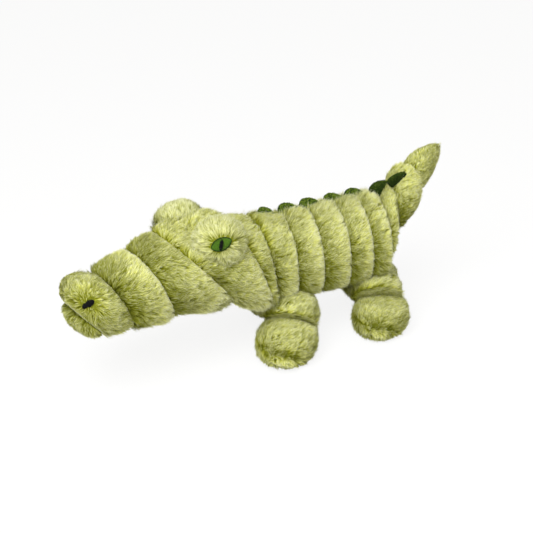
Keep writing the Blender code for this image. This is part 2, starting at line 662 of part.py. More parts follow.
def build_leg(side, pair, sign, hip_x, step):
    """An upper puff round the hip and a foot puff cut flat at the sole, parted by a slanted seam."""
    share = 1.0 if pair == "front" else REAR_LEG_SHARE
    spread = FRONT_HIP_SPREAD if pair == "front" else REAR_HIP_SPREAD
    foot_spread = FRONT_FOOT_SPREAD if pair == "front" else REAR_FOOT_SPREAD
    hip = Vector((hip_x, sign * spread, BODY_HEIGHT - HIP_DROP))
    foot_place = Vector((hip_x - step, sign * (spread + foot_spread), FOOT_HALF_HEIGHT * share - SOLE_CUT))
    plain = (Vector((1.0, 0.0, 0.0)), Vector((0.0, 1.0, 0.0)), Vector((0.0, 0.0, 1.0)))
    swing = (plain[0], plain[2], plain[1])
    name = pair + "_" + side
    radius = UPPER_LEG_RADIUS * share
    upper = ball("leg_upper_" + name, hip, (radius, radius, radius), swing, SURFACES["pile"], sides=LEG_SIDES)
    foot_halves = (FOOT_HALF_LENGTH * share, FOOT_HALF_WIDTH * share, FOOT_HALF_HEIGHT * share)
    foot = ball("foot_" + name, foot_place, foot_halves, plain, SURFACES["pile"],
                power=FOOT_POWER, low_power=SOLE_POWER)
    down = (foot_place - hip).normalized()
    seam_place = hip.lerp(foot_place, ANKLE_SHARE)
    across = plain[0].cross(down).normalized()
    forward = down.cross(across).normalized()
    half = radius * 2.0
    below = box("ankle_low_" + name, seam_place + down * (half - SEAM_GAP / 2.0), (half, half, half),
                (forward, across, down))
    above = box("ankle_high_" + name, seam_place - down * (half - SEAM_GAP / 2.0), (half, half, half),
                (forward, across, down))
    cut(upper, below)
    cut(foot, above)
    sole = box("sole_" + name, Vector((foot_place.x, foot_place.y, -half)), (half, half, half), plain)
    cut(foot, sole)
    socket = ball("hip_socket_" + name, hip, (radius + HIP_CLEARANCE,) * 3, swing, SURFACES["cutter"],
                  sides=LEG_SIDES)
    return hip, socket


def spike_outline(length, height):
    """The felt spike seen from the side: a leaf with a round top that leans forward."""
    angle = np.linspace(0.0, np.pi, SPIKE_SIDES)
    along = -np.cos(angle) * length / 2.0
    high = np.sin(angle) ** SPIKE_FULLNESS_POWER * height
    along = along + SPIKE_SWEEP_SHARE * length / 2.0 * np.sin(angle) ** 2
    points = list(zip(along, high))
    half = length / 2.0
    root = half * SPIKE_ROOT_SHARE
    return [(-root, -SPIKE_ROOT)] + points + [(root, -SPIKE_ROOT)]


def build_spike(number, seat, slope, roll, size_share, holders):
    """One felt spike standing in a slot in the centre-back seam."""
    slope = math.radians(slope)
    outward = Vector((0.0, math.sin(roll), math.cos(roll)))
    along = Vector((math.cos(slope), 0.0, 0.0)) + outward * math.sin(slope)
    side = Vector((0.0, math.cos(roll), -math.sin(roll)))
    up = along.cross(side)
    length, height = SPIKE_LENGTH * size_share, SPIKE_HEIGHT * size_share
    outline = spike_outline(length, height)
    rings = []
    edge, flat = SPIKE_EDGE_SHARE, SPIKE_FLAT_SHARE
    for spread_share, level_share in ((edge, -1.0 / 2.0), (1.0, -flat), (1.0, flat), (edge, 1.0 / 2.0)):
        rings.append([seat + along * (x * spread_share) + up * (max(z, 0.0) * spread_share + min(z, 0.0))
                      + side * (SPIKE_THICKNESS * level_share) for x, z in outline])
    middle = seat + up * height * SPIKE_MIDDLE_SHARE
    points, faces = loft(rings, middle - side * SPIKE_THICKNESS / 2.0, middle + side * SPIKE_THICKNESS / 2.0)
    spike = add_object("spike_%d" % number, points, faces, SURFACES["felt"])
    room = SPIKE_SLOT_CLEARANCE
    slot_height = (SPIKE_ROOT + height) / 2.0
    slot = box("spike_slot_%d" % number, seat + up * (slot_height - SPIKE_ROOT - room),
               (length / 2.0 + room, SPIKE_THICKNESS / 2.0 + room, slot_height), (along, side, up))
    for holder in holders:
        cut(holder, slot)
    return spike


def ring_top(front, back, share, roll):
    """Where the spine crosses a ring's skin, and the slope of the ring's back."""
    seam = blend_seams(front, back, share)
    rise = back.place.z + back.half_height - front.place.z - front.half_height
    run = back.place.x - front.place.x
    reach = seam.half_height + PUFF_SWELL
    spot = seam.place + Vector((0.0, math.sin(roll), math.cos(roll))) * reach
    return spot, math.degrees(math.atan2(rise, run))


def build():
    """The whole toy."""
    remove_everything()
    make_surfaces()
    seams = body_seams()
    cheek, brow, rear, front, tip = head_seams(seams[0])
    first, second, end = tail_seams(seams[-1])
    rings = build_body(seams)
    neck_ring, head, snout_rear, snout_front, snout_tip = build_head(seams[0], cheek, brow, rear, front, tip)
    base = seams[-1]._replace(half_width=TAIL_BASE_HALF_SIZE, half_height=TAIL_BASE_HALF_SIZE)
    tail_root = puff("tail_ring_1", base, first, SURFACES["pile"], front_flex=FLEX_ANGLE / 2.0)
    tail_middle = puff("tail_ring_2", first, second, SURFACES["pile"])
    end_puff("tail_tip", second, end, SURFACES["pile"], bluntness=TAIL_BLUNTNESS)
    build_nostrils(front, tip, snout_tip)
    build_jaw(front, snout_tip)
    bumps, crown, eye_base = build_bumps(cheek)
    build_eyes(bumps, eye_base)
    head_cutter = grown("head_cutter", brow, cheek, SEAM_GAP)
    neck_cutter = grown("neck_cutter", cheek, seams[0], SEAM_GAP)
    snout_cutter = grown("snout_cutter", rear, brow, SEAM_GAP)
    for thing in (bumps["left"], bumps["right"], crown):
        for cutter in (head_cutter, neck_cutter, snout_cutter):
            cut(thing, cutter)
    build_squeaker(rings[2], seams[2], seams[3])
    build_spikes(seams + [first, second], rings + [tail_root, tail_middle])
    joints = build_legs(rings)
    neck_joint, tail_joint = seams[0].place, seams[-1].place
    joints += [("neck", neck_joint), ("tail", tail_joint)]
    hang_on(neck_joint, HEAD_PIECES)
    hang_on(tail_joint, TAIL_PIECES)
    shift = stand_on_origin()
    for name, place in joints:
        print(name, "joint", [round(value, 5) for value in place + shift])


HEAD_PIECES = ("neck_ring", "head", "crown", "snout_ring_rear", "snout_ring_front", "snout_tip", "lower_jaw",
               "eye_bump_left", "eye_bump_right", "eye_iris_left", "eye_iris_right",
               "eye_pupil_left", "eye_pupil_right", "nostril_left", "nostril_right")
TAIL_PIECES = ("tail_ring_1", "tail_ring_2", "tail_tip", "spike_6", "spike_7")


def hang_on(joint, names):
    """Put the origin of each named piece on its joint, without moving the piece."""
    for name in names:
        thing = bpy.data.objects[name]
        thing.data.transform(Matrix.Translation(-joint))
        thing.location = joint


def stand_on_origin():
    """Move the whole toy so that the middle of its footprint box is the origin."""
    bpy.context.view_layer.update()
    sight = bpy.context.evaluated_depsgraph_get()
    low, high = Vector((math.inf,) * 3), Vector((-math.inf,) * 3)
    for thing in bpy.data.objects:
        if thing.hide_render or thing.type != "MESH":
            continue
        seen = thing.evaluated_get(sight)
        for corner in seen.data.vertices:
            spot = seen.matrix_world @ corner.co
            low = Vector(map(min, low, spot))
            high = Vector(map(max, high, spot))
    shift = Vector((-(low.x + high.x) / 2.0, -(low.y + high.y) / 2.0, -low.z))
    for thing in bpy.data.objects:
        thing.location = thing.location + shift
    print("size", [round(value, 5) for value in high - low], "moved by", [round(value, 5) for value in shift])
    return shift


def build_spikes(seams, rings):
    """The seven felt spikes; a root that reaches over a groove is let into both rings."""
    for number in range(len(rings)):
        roll = math.radians(SPINE_ROLLS[number])
        seat, slope = ring_top(seams[number], seams[number + 1], SPIKE_ALONG_SHARES[number], roll)
        holders = rings[number - SPIKE_FRONT_HOLDERS[number]:number + 1 + SPIKE_REAR_HOLDERS[number]]
        build_spike(number + 1, seat, slope, roll, SPIKE_SIZE_SHARES[number], holders)


def build_legs(rings):
    """Four legs; the rings give way to their round tops."""
    steps = {("front", "left"): FRONT_FOOT_STEP, ("front", "right"): FAR_FRONT_FOOT_STEP,
             ("rear", "left"): REAR_FOOT_STEP, ("rear", "right"): FAR_REAR_FOOT_STEP}
    hips = []
    for pair, hip_x, pressed in (("front", FRONT_HIP_X, rings[0:3]), ("rear", REAR_HIP_X, rings[3:5])):
        for side, sign in (("left", -1.0), ("right", 1.0)):
            hip, socket = build_leg(side, pair, sign, hip_x, steps[(pair, side)])
            for ring in pressed:
                cut(ring, socket)
            hang_on(hip, ("leg_upper_%s_%s" % (pair, side), "foot_%s_%s" % (pair, side)))
            hips.append((pair + " " + side + " hip", hip))
    return hips


build()
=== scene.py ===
# %% [markdown]
# # An alligator plush, dressed for its portrait
# The toy is a long chain of stuffed rings sewn from long-pile fabric, with a wide head, two eye bumps,
# four ball-shaped legs, an upswept tail and a row of dark green felt spikes down the back.
# The solid model gives the size, the joints and the places of all pieces.
# This script gives every puff its skin and its fur, and the eyes and nostrils their stitches.
#
# ## Load the solid model
# The solid model is read first.

import json
import math
from collections import namedtuple

import bpy
import numpy as np
from mathutils import Matrix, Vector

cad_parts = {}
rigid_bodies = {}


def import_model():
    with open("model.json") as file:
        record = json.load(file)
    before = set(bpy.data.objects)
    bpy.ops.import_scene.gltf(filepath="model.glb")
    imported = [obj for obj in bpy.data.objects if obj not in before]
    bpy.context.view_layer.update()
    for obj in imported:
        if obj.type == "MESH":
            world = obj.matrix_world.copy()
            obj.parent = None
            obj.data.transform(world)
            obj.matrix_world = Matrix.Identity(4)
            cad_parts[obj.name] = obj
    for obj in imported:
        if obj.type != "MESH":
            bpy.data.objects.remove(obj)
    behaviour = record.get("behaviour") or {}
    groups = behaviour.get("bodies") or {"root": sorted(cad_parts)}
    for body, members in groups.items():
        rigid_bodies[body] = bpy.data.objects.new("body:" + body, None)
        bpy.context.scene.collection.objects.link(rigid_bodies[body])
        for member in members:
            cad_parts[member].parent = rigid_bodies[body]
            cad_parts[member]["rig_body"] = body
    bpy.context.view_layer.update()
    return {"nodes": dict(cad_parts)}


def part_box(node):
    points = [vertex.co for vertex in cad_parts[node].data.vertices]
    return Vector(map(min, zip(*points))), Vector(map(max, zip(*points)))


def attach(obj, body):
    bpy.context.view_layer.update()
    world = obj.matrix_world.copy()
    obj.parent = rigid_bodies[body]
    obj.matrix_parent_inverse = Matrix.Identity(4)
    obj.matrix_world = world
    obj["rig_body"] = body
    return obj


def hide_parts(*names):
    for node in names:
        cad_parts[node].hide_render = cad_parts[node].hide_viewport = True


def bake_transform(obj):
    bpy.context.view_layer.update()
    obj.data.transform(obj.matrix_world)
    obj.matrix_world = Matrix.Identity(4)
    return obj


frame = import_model()
nodes = frame["nodes"]
body_of_node = {name: obj["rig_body"] for name, obj in nodes.items()}

# %% [markdown]
# ## Small helpers for whole arrays
# All shapes here are functions of two numbers, u round the piece and v along it. They take whole arrays
# and give whole arrays back, so no loop ever walks over points. These helpers give unit vectors, level
# headings, and a slow wave that wanders between about -1 and 1 over the surface, used for all that is
# uneven: how full a puff is, which way the fur swirls and how light it is.

# %% Array helpers
MM = 0.001
UP = np.array([0.0, 0.0, 1.0])
TAILWARD = np.array([1.0, 0.0, 0.0])


def unit(v):
    """Each vector divided by its own length."""
    return v / np.maximum(np.linalg.norm(v, axis=-1, keepdims=True), 1e-12)


def heading(turn):
    """A level direction to the tail, turned to the far side by this many degrees."""
    return np.array([math.cos(math.radians(turn)), math.sin(math.radians(turn)), 0.0])


def sideways(way):
    """The level direction at a right angle to a level one, to the far side."""
    return np.array([-way[1], way[0], 0.0])


def distance(points, spot, rise=0.0):
    """How far points lie from a spot, or from a place above it."""
    return np.linalg.norm(points - spot - UP * rise, axis=-1)


def mixed(a, b, share):
    """From a to b by a share."""
    return a + (b - a) * share


def smooth(x, low, high):
    """0 below low, 1 above high, and an even S between them: 3t^2 - 2t^3."""
    t = np.clip((x - low) / (high - low), 0.0, 1.0)
    return t * t * (3.0 - 2.0 * t)


def drift(points, wavelength, seed):
    """A slow wave over space: seven sine waves in chance directions, added and brought near -1 to 1."""
    chance = np.random.default_rng(seed)
    ways = unit(chance.normal(size=(7, 3))) * (2.0 * np.pi / wavelength) * chance.uniform(0.6, 1.6, (7, 1))
    starts = chance.uniform(0.0, 2.0 * np.pi, 7)
    return np.sin(points @ ways.T + starts).sum(axis=-1) / 3.2


# %% [markdown]
# ## The seams
# A seam is a flat, slightly squared loop where two puffs are sewn together. It has a place, a half width
# and a half height, a turn to the far side and a lean back. Every stuffed ring lies between two seams, so
# the whole toy from snout to tail is one list of seams. They have the solid model's values, or values a
# few millimetres nearer to the photograph at the snout and the tail.

# %% Seams from the snout to the tail
Seam = namedtuple("Seam", "place half_width half_height turn lean")
SHIFT = np.array([0.06309, 0.00199, 0.0])
BODY_HEIGHT, BODY_HALF, BODY_RISE = 0.100, 0.0445, 0.006
NECK_X, NECK_RISE, NECK_HALF = -0.064, 0.004, 0.0490
RING_LENGTH = 0.0298
SNOUT_TURN, TAIL_TURN = 17.0, 12.0


def seam(x, rise, half, turn=0.0, lean=0.0):
    """A seam as wide as it is high, on the toy's middle line at a rise above the body's height."""
    return Seam(SHIFT + np.array([x, 0.0, BODY_HEIGHT + rise]), half, half, turn, lean)


def before(back, turn, length, rise, half_width, half_height, own_turn, lean):
    """The seam in front of another one, a length ahead along a heading and a rise above it. A length
    below zero puts it behind."""
    return Seam(back.place - heading(turn) * length + UP * rise, half_width, half_height, own_turn, lean)


ring_lengths = RING_LENGTH * np.array([1.10, 1.04, 1.08, 0.91, 0.84])
ring_ends = NECK_X + np.cumsum(ring_lengths)
ring_rise = BODY_RISE * np.cumsum(ring_lengths) / ring_lengths.sum()
neck = seam(NECK_X, NECK_RISE, NECK_HALF, 5.5, 5.0)
body_seams = [neck] + [seam(x, rise, BODY_HALF) for x, rise in zip(ring_ends, ring_rise)]
cheek = before(neck, 7.5, 0.0172, 0.002, 0.0550, 0.0540, 9.5, 16.5)
brow = before(cheek, 12.75, 0.0645, 0.0145, 0.0555, 0.0550, 16.0, 36.0)
snout_back = before(brow, SNOUT_TURN, 0.0578, 0.0, 0.0452, 0.0384, SNOUT_TURN, 17.0)
snout_front = before(snout_back, SNOUT_TURN, 0.0428, -0.0037, 0.0430, 0.0340, SNOUT_TURN, 17.0)
snout_end = before(snout_front, SNOUT_TURN, 0.0468, 0.0092, 0.0410, 0.0410, SNOUT_TURN, 17.0)
last = body_seams[-1]
tail_base = last._replace(half_width=0.0360, half_height=0.0360)
tail_one = before(last, 0.0, -0.0168, 0.0288, 0.0250, 0.0270, 0.0, 0.0)
tail_two = before(tail_one, TAIL_TURN, -0.0262, 0.0288, 0.0200, 0.0242, 24.0, 12.0)
tail_end = before(tail_two, TAIL_TURN, -0.0380, 0.0332, 0.0080, 0.0175, 24.0, 52.0)
print("seams from x", np.round(snout_end.place[0], 3), "to", np.round(tail_end.place[0], 3))

# %% [markdown]
# ## Skins as functions
# A ring puff blends one seam into the next. Its rim is a superellipse, a circle pressed a little square,
# and between the seams it swells, deepest just beside them, as stuffing makes it. Ends and balls close
# at their poles. A puff that leans on another is pressed flat there, or dented by the round thing that
# pushes into it: each is one formula on the whole array of points.

# %% Formulas for the skins
SWELL, SEAM_DEPTH, RIM_POWER = 1.5 * MM, 6.5 * MM, 2.25
INSET, ROOM = 1.0 * MM, 1.2 * MM


def rounded(angle, power):
    """Cosine and sine pulled toward a square: sign times size to the power 2 / power."""
    c, s = np.cos(angle), np.sin(angle)
    return np.sign(c) * np.abs(c) ** (2.0 / power), np.sign(s) * np.abs(s) ** (2.0 / power)


def seam_axes(turn, lean):
    """The directions of a seam: to the tail, across to the far side, and up in its plane."""
    t, n = np.radians(turn), np.radians(lean)
    along = np.stack([np.cos(t) * np.cos(n), np.sin(t) * np.cos(n), np.sin(n)], axis=-1)
    across = np.stack([-np.sin(t), np.cos(t), np.zeros_like(t)], axis=-1)
    return along, across, np.cross(along, across)


def ring_skin(front, back, front_room=ROOM, back_room=ROOM, swell=SWELL, shallow_top=0.0):
    """A ring: seams blended along v, plus swell * sin(pi w)^0.6 less the seam's pull, with w = v^1.2, so
    that the puff is fullest behind its middle and hangs over its rear seam. The pull can fade toward the
    top. The rooms keep it clear of its neighbours."""

    def skin(u, v):
        share = (1.0 - np.cos(np.pi * v)) / 2.0
        depth = np.maximum(np.sin(np.pi * v ** 1.2), 0.0) ** 0.6
        place = mixed(front.place, back.place, share[..., None])
        turn, lean = mixed(front.turn, back.turn, share), mixed(front.lean, back.lean, share)
        along, across, up = seam_axes(turn, lean)
        wide, high = rounded(2.0 * np.pi * u, RIM_POWER)
        pull = SEAM_DEPTH * (1.0 - shallow_top * smooth(high, -0.1, 0.8))
        grow = swell * depth - pull * (1.0 - depth) - INSET
        room = front_room * (1.0 - share) - back_room * share
        wide = wide * (mixed(front.half_width, back.half_width, share) + grow)
        high = high * (mixed(front.half_height, back.half_height, share) + grow)
        return place + along * room[..., None] + across * wide[..., None] + up * high[..., None]

    return skin


def end_skin(base, end, bluntness):
    """An end puff: it runs from its seam to the end with sin(v)^(2/b) and closes with cos(v)^(2/b)."""
    sign = np.sign((end.place - base.place) @ seam_axes(base.turn, base.lean)[0])

    def skin(u, v):
        share = np.abs(np.sin(np.pi * v / 2.0)) ** (2.0 / bluntness)
        close = np.abs(np.cos(np.pi * v / 2.0)) ** (2.0 / bluntness)
        place = mixed(base.place, end.place, share[..., None])
        along, across, up = seam_axes(mixed(base.turn, end.turn, share), mixed(base.lean, end.lean, share))
        pull = SEAM_DEPTH * (1.0 - share) ** 3 + INSET
        wide, high = rounded(-sign * 2.0 * np.pi * u, RIM_POWER)
        room = sign * ROOM * (1.0 - share)
        wide = wide * np.maximum(mixed(base.half_width, end.half_width, share) * close - pull, 0.0)
        high = high * np.maximum(mixed(base.half_height, end.half_height, share) * close - pull, 0.0)
        return place + along * room[..., None] + across * wide[..., None] + up * high[..., None]

    return skin


def ball_skin(centre, halves, axes, power=2.0, low_power=None, inset=INSET):
    """A ball: cos and sin of its tilt, pulled toward a box by the power, the lower half by its own."""

    def skin(u, v):
        tilt = np.pi * (v - 0.5)
        p = np.where(tilt < 0.0, low_power or power, power)
        reach, rise = np.abs(np.cos(tilt)) ** (2.0 / p), np.sign(tilt) * np.abs(np.sin(tilt)) ** (2.0 / p)
        ways = np.stack([np.cos(2.0 * np.pi * u) * reach, np.sin(2.0 * np.pi * u) * reach, rise], axis=-1)
        return centre + (ways * (np.asarray(halves) - inset)) @ axes

    return skin


def flattened(skin, place, facing, kept=0.0):
    """A skin pressed flat where it would pass a plane: p - n max(0, (p - place) . n), less the share kept."""

    def pressed(u, v):
        p = skin(u, v)
        past = np.maximum((p - place) @ facing, 0.0) * (1.0 - kept)
        return p - facing * past[..., None]

    return pressed


def dented(skin, axis_place, axis, centre, radius):
    """A skin dented inward by a ball: where it enters the ball it slides toward the axis to the far side."""

    def pressed(u, v):
        p = skin(u, v)
        arm = p - axis_place
        out = unit(arm - axis * (arm @ axis)[..., None])
        rel = p - centre
        b = (rel * out).sum(axis=-1)
        room = radius * radius - (rel * rel).sum(axis=-1)
        step = np.where(room > 0.0, b + np.sqrt(np.maximum(b * b + room, 0.0)), 0.0)
        return p - out * step[..., None]

    return pressed


# %% [markdown]
# ## From a function to a closed skin
# The function is read on an even grid of u and v, and the two ends are closed with a fan, so that each
# skin is one watertight shell. The same function also tells where fur may grow: its slopes in u and v
# give the normal, and the size of their cross product gives the area under each grid cell.

# %% Meshes from functions


def make_mesh(name, points, faces, material):
    """One object from an array of points and a list of faces, shaded smooth, at the origin."""
    mesh = bpy.data.meshes.new(name)
    mesh.from_pydata(points.reshape(-1, 3).tolist(), [], faces)
    mesh.materials.append(material)
    mesh.shade_smooth()
    made = bpy.data.objects.new(name, mesh)
    bpy.context.scene.collection.objects.link(made)
    return made


def grid_faces(rows, sides):
    """Quads between neighbouring rows, and a fan to a pole at each end."""
    r, s = np.meshgrid(np.arange(rows - 1), np.arange(sides), indexing="ij")
    a, b = r * sides + s, r * sides + (s + 1) % sides
    quads = np.stack([a, b, b + sides, a + sides], axis=-1).reshape(-1, 4)
    s = np.arange(sides)
    top = (rows - 1) * sides
    first = np.stack([np.full(sides, rows * sides), (s + 1) % sides, s], axis=-1)
    final = np.stack([np.full(sides, rows * sides + 1), top + s, top + (s + 1) % sides], axis=-1)
    return quads.tolist() + first.tolist() + final.tolist()


def volume(points, faces):
    """The signed volume of a shell: a sixth of the sum of a . (b x c) over its triangles."""
    fans = np.array([(f[0], f[i], f[i + 1]) for f in faces for i in range(1, len(f) - 1)])
    a, b, c = points[fans[:, 0]], points[fans[:, 1]], points[fans[:, 2]]
    return float((a * np.cross(b, c)).sum() / 6.0)


def facing_out(points, faces):
    """The same faces, all turned round where they close a volume below zero."""
    return faces if volume(points, faces) >= 0.0 else [face[::-1] for face in faces]


def grid_of(margin, rows, sides):
    """Every u and v of an even grid, as two flat arrays, with a margin at both ends of v."""
    v, u = np.meshgrid(np.linspace(margin, 1.0 - margin, rows), np.arange(sides) / sides, indexing="ij")
    return u.ravel(), v.ravel()


def closed_skin(name, skin, material, rows=26, sides=56):
    """A watertight shell of a skin function, facing outward."""
    grid = skin(*grid_of(0.004, rows, sides))
    ends = np.stack([grid[:sides].mean(axis=0), grid[-sides:].mean(axis=0)])
    points = np.concatenate([grid, ends])
    return make_mesh(name, points, facing_out(points, grid_faces(rows, sides)), material)


SLOPE_STEP = 0.001


def slopes(skin, u, v):
    """Points, normals and area elements of a skin function, from small steps in u and v."""
    v0, v1 = np.clip(v - SLOPE_STEP, 0.0, 1.0), np.clip(v + SLOPE_STEP, 0.0, 1.0)
    du = (skin(u + SLOPE_STEP, v) - skin(u - SLOPE_STEP, v)) / (2.0 * SLOPE_STEP)
    dv = (skin(u, v1) - skin(u, v0)) / (v1 - v0)[..., None]
    cross = np.cross(du, dv)
    return skin(u, v), unit(cross), np.linalg.norm(cross, axis=-1)


def outward_sign(skin):
    """Plus one where the slopes' cross product points out of the skin, else minus one."""
    points, facing, area = slopes(skin, *grid_of(0.01, 12, 24))
    return np.sign(((points - points.mean(axis=0)) * facing * area[:, None]).sum())


# %% [markdown]
# ## Finishes
# The pile's colour runs along each strand, from a deep olive root to a pale yellow-green tip, and no two
# tufts are dyed quite alike. Each strand therefore carries a small map: across it lies how light its tuft is,
# its own chance tone plus painted shade and light by its place, along it the way from root to tip. The colour
# is a function of these two numbers alone.

# %% Finishes


def set_sockets(node, **values):
    """Set a node's inputs by name, with _ for a space in the name."""
    for name, value in values.items():
        node.inputs[name.replace("_", " ")].default_value = value


def link_all(links, *pairs):
    """Link each pair of an output and an input."""
    for out, into in pairs:
        links.new(out, into)


def finish(name, roughness, sheen=0.0):
    """A new Principled finish with its own roughness and sheen."""
    made = bpy.data.materials.new(name)
    made.use_nodes = True
    shader = made.node_tree.nodes["Principled BSDF"]
    set_sockets(shader, Roughness=roughness, Specular_IOR_Level=0.08)
    if sheen:
        set_sockets(shader, Sheen_Weight=sheen, Sheen_Roughness=0.4)
    return made, made.node_tree.nodes, made.node_tree.links, shader


def ramp(tree, stops):
    """A colour ramp with the given (place, colour) stops."""
    node = tree.new("ShaderNodeValToRGB")
    band = node.color_ramp.elements
    band[0].position, band[0].color = stops[0][0], (*stops[0][1], 1.0)
    band[1].position, band[1].color = stops[-1][0], (*stops[-1][1], 1.0)
    for place, colour in stops[1:-1]:
        band.new(place).color = (*colour, 1.0)
    return node


THROUGH = 0.4


def blend_of(tree, links, share, first, second, surface):
    """Two shaders mixed by a share, a number or an output, and led to a surface."""
    both = tree.new("ShaderNodeMixShader")
    if isinstance(share, float):
        set_sockets(both, Fac=share)
    else:
        links.new(share, both.inputs["Fac"])
    link_all(links, (first.outputs[0], both.inputs[1]), (second.outputs[0], both.inputs[2]),
             (both.outputs[0], surface))


def strand_finish(name, roughness, sheen, dark_stops, light_stops):
    """A strand's colour: a root-to-tip ramp for dark tufts and one for light tufts, mixed by the tuft's tone.
    A strand is so thin that light comes through it, so part of its shading is translucent."""
    made, tree, links, shader = finish(name, roughness, sheen)
    maps = tree.new("ShaderNodeUVMap")
    maps.uv_map = "OFBake"
    apart = tree.new("ShaderNodeSeparateXYZ")
    dark, light = ramp(tree, dark_stops), ramp(tree, light_stops)
    mix = tree.new("ShaderNodeMix")
    mix.data_type = "RGBA"
    through = tree.new("ShaderNodeBsdfTranslucent")
    colour, along = mix.outputs["Result"], apart.outputs["Y"]
    link_all(links, (maps.outputs["UV"], apart.inputs[0]), (along, dark.inputs["Fac"]),
             (along, light.inputs["Fac"]), (apart.outputs["X"], mix.inputs["Factor"]),
             (dark.outputs["Color"], mix.inputs["A"]),
             (light.outputs["Color"], mix.inputs["B"]), (colour, shader.inputs["Base Color"]),
             (colour, through.inputs["Color"]))
    blend_of(tree, links, THROUGH, shader, through, tree["Material Output"].inputs["Surface"])
    return made


def mottled_finish(name, colour, other, scale, roughness, bump=0.0):
    """Two near colours mixed by fine noise on the piece's own coordinates, with a little bump from it."""
    made, tree, links, shader = finish(name, roughness)
    where, noise = tree.new("ShaderNodeTexCoord"), tree.new("ShaderNodeTexNoise")
    set_sockets(noise, Scale=scale, Detail=4.0)
    band = ramp(tree, ((0.35, colour), (0.65, other)))
    link_all(links, (where.outputs["Object"], noise.inputs["Vector"]),
             (noise.outputs["Fac"], band.inputs["Fac"]),
             (band.outputs["Color"], shader.inputs["Base Color"]))
    if bump:
        relief = tree.new("ShaderNodeBump")
        set_sockets(relief, Strength=bump, Distance=0.4 * MM)
        link_all(links, (noise.outputs["Fac"], relief.inputs["Height"]),
                 (relief.outputs["Normal"], shader.inputs["Normal"]))
    return made


PILE = strand_finish(
    "Pale pile", 0.9, 0.0,
    ((0.0, (0.025, 0.03, 0.0)), (0.35, (0.09, 0.105, 0.001)),
     (0.70, (0.22, 0.24, 0.006)), (1.0, (0.41, 0.43, 0.030))),
    ((0.0, (0.32, 0.34, 0.015)), (0.30, (0.64, 0.65, 0.07)),
     (0.65, (0.87, 0.88, 0.30)), (1.0, (0.97, 0.97, 0.92))))
EYE_PILE = strand_finish(
    "Pale pile round the eyes", 0.9, 0.0,
    ((0.0, (0.14, 0.15, 0.015)), (0.35, (0.20, 0.22, 0.025)),
     (0.70, (0.31, 0.33, 0.045)), (1.0, (0.46, 0.48, 0.09))),
    ((0.0, (0.46, 0.48, 0.14)), (0.30, (0.70, 0.71, 0.27)),
     (0.65, (0.85, 0.86, 0.40)), (1.0, (0.95, 0.95, 0.86))))
BACKING = mottled_finish("Fabric backing", (0.13, 0.145, 0.010), (0.19, 0.21, 0.016), 700.0, 0.95)
FELT_PILE = strand_finish(
    "Spike pile", 0.9, 0.1,
    ((0.0, (0.007, 0.014, 0.002)), (0.6, (0.021, 0.040, 0.005)), (1.0, (0.040, 0.070, 0.009))),
    ((0.0, (0.050, 0.090, 0.010)), (0.6, (0.180, 0.270, 0.030)), (1.0, (0.330, 0.430, 0.070))))
FELT_BASE = mottled_finish("Spike felt base", (0.012, 0.026, 0.004), (0.022, 0.044, 0.006), 900.0, 0.95, 0.4)
print("finishes:", len(bpy.data.materials))

# %% [markdown]
# ## Growing fur
# Real fur is far finer than a picture can show, so a tuft of it stands here as a few tapered blades.
# Tufts are strewn evenly over the skin by area. Every tuft leans the way its piece is combed, its blades
# bend from steep at the root to lying at the tip, and their tips draw together, as brushed pile does.
# Near a seam the blades can't pass the seam's plane: they stand up against it, which gives each ring
# its crisp pale edge. Blades that would grow under another piece are left out.

# %% The fur grower
BLADE_STEPS, BLADE_WIDTHS = (0.0, 0.55, 1.0), (0.85, 0.90)
TUFT_TURN, BLADE_TURN, BLADE_CURL = 9.0, 8.0, 16.0
TUFT_TILT, BLADE_TILT, STAND_TILT = 5.0, 6.0, 30.0
TUFT_TONE, BLADE_TONE, SLOW_TONE = 0.14, 0.26, 0.12
ROOT_DEPTH, GROUND = 0.4 * MM, 0.25 * MM
CELLS = (90, 160)


def pick_places(skin, spacing, chance):
    """Random u and v, even by area: grid cells are drawn with a chance in proportion to their area."""
    rows, columns = CELLS
    v, u = np.meshgrid((np.arange(rows) + 0.5) / rows, (np.arange(columns) + 0.5) / columns, indexing="ij")
    area = slopes(skin, u.ravel(), v.ravel())[2] / (rows * columns)
    count = int(area.sum() / spacing ** 2)
    drawn = chance.choice(len(area), size=count, p=area / area.sum())
    u = (drawn % columns + chance.random(count)) / columns
    return u, (drawn // columns + chance.random(count)) / rows


def buried(points, others, margin):
    """True for points more than a margin inside another skin: behind its nearest sample by that much."""
    found = np.zeros(len(points), bool)
    for other in others:
        spots, facing, _ = slopes(other, *grid_of(0.02, 22, 36))
        low, high = spots.min(axis=0), spots.max(axis=0)
        near = np.flatnonzero(((points > low) & (points < high)).all(axis=1))
        for part in np.array_split(near, max(1, len(near) // 4000)):
            gap = ((points[part, None, :] - spots[None]) ** 2).sum(axis=-1)
            best = gap.argmin(axis=1)
            depth = ((points[part] - spots[best]) * facing[best]).sum(axis=1)
            found[part] |= depth < -margin
    return found


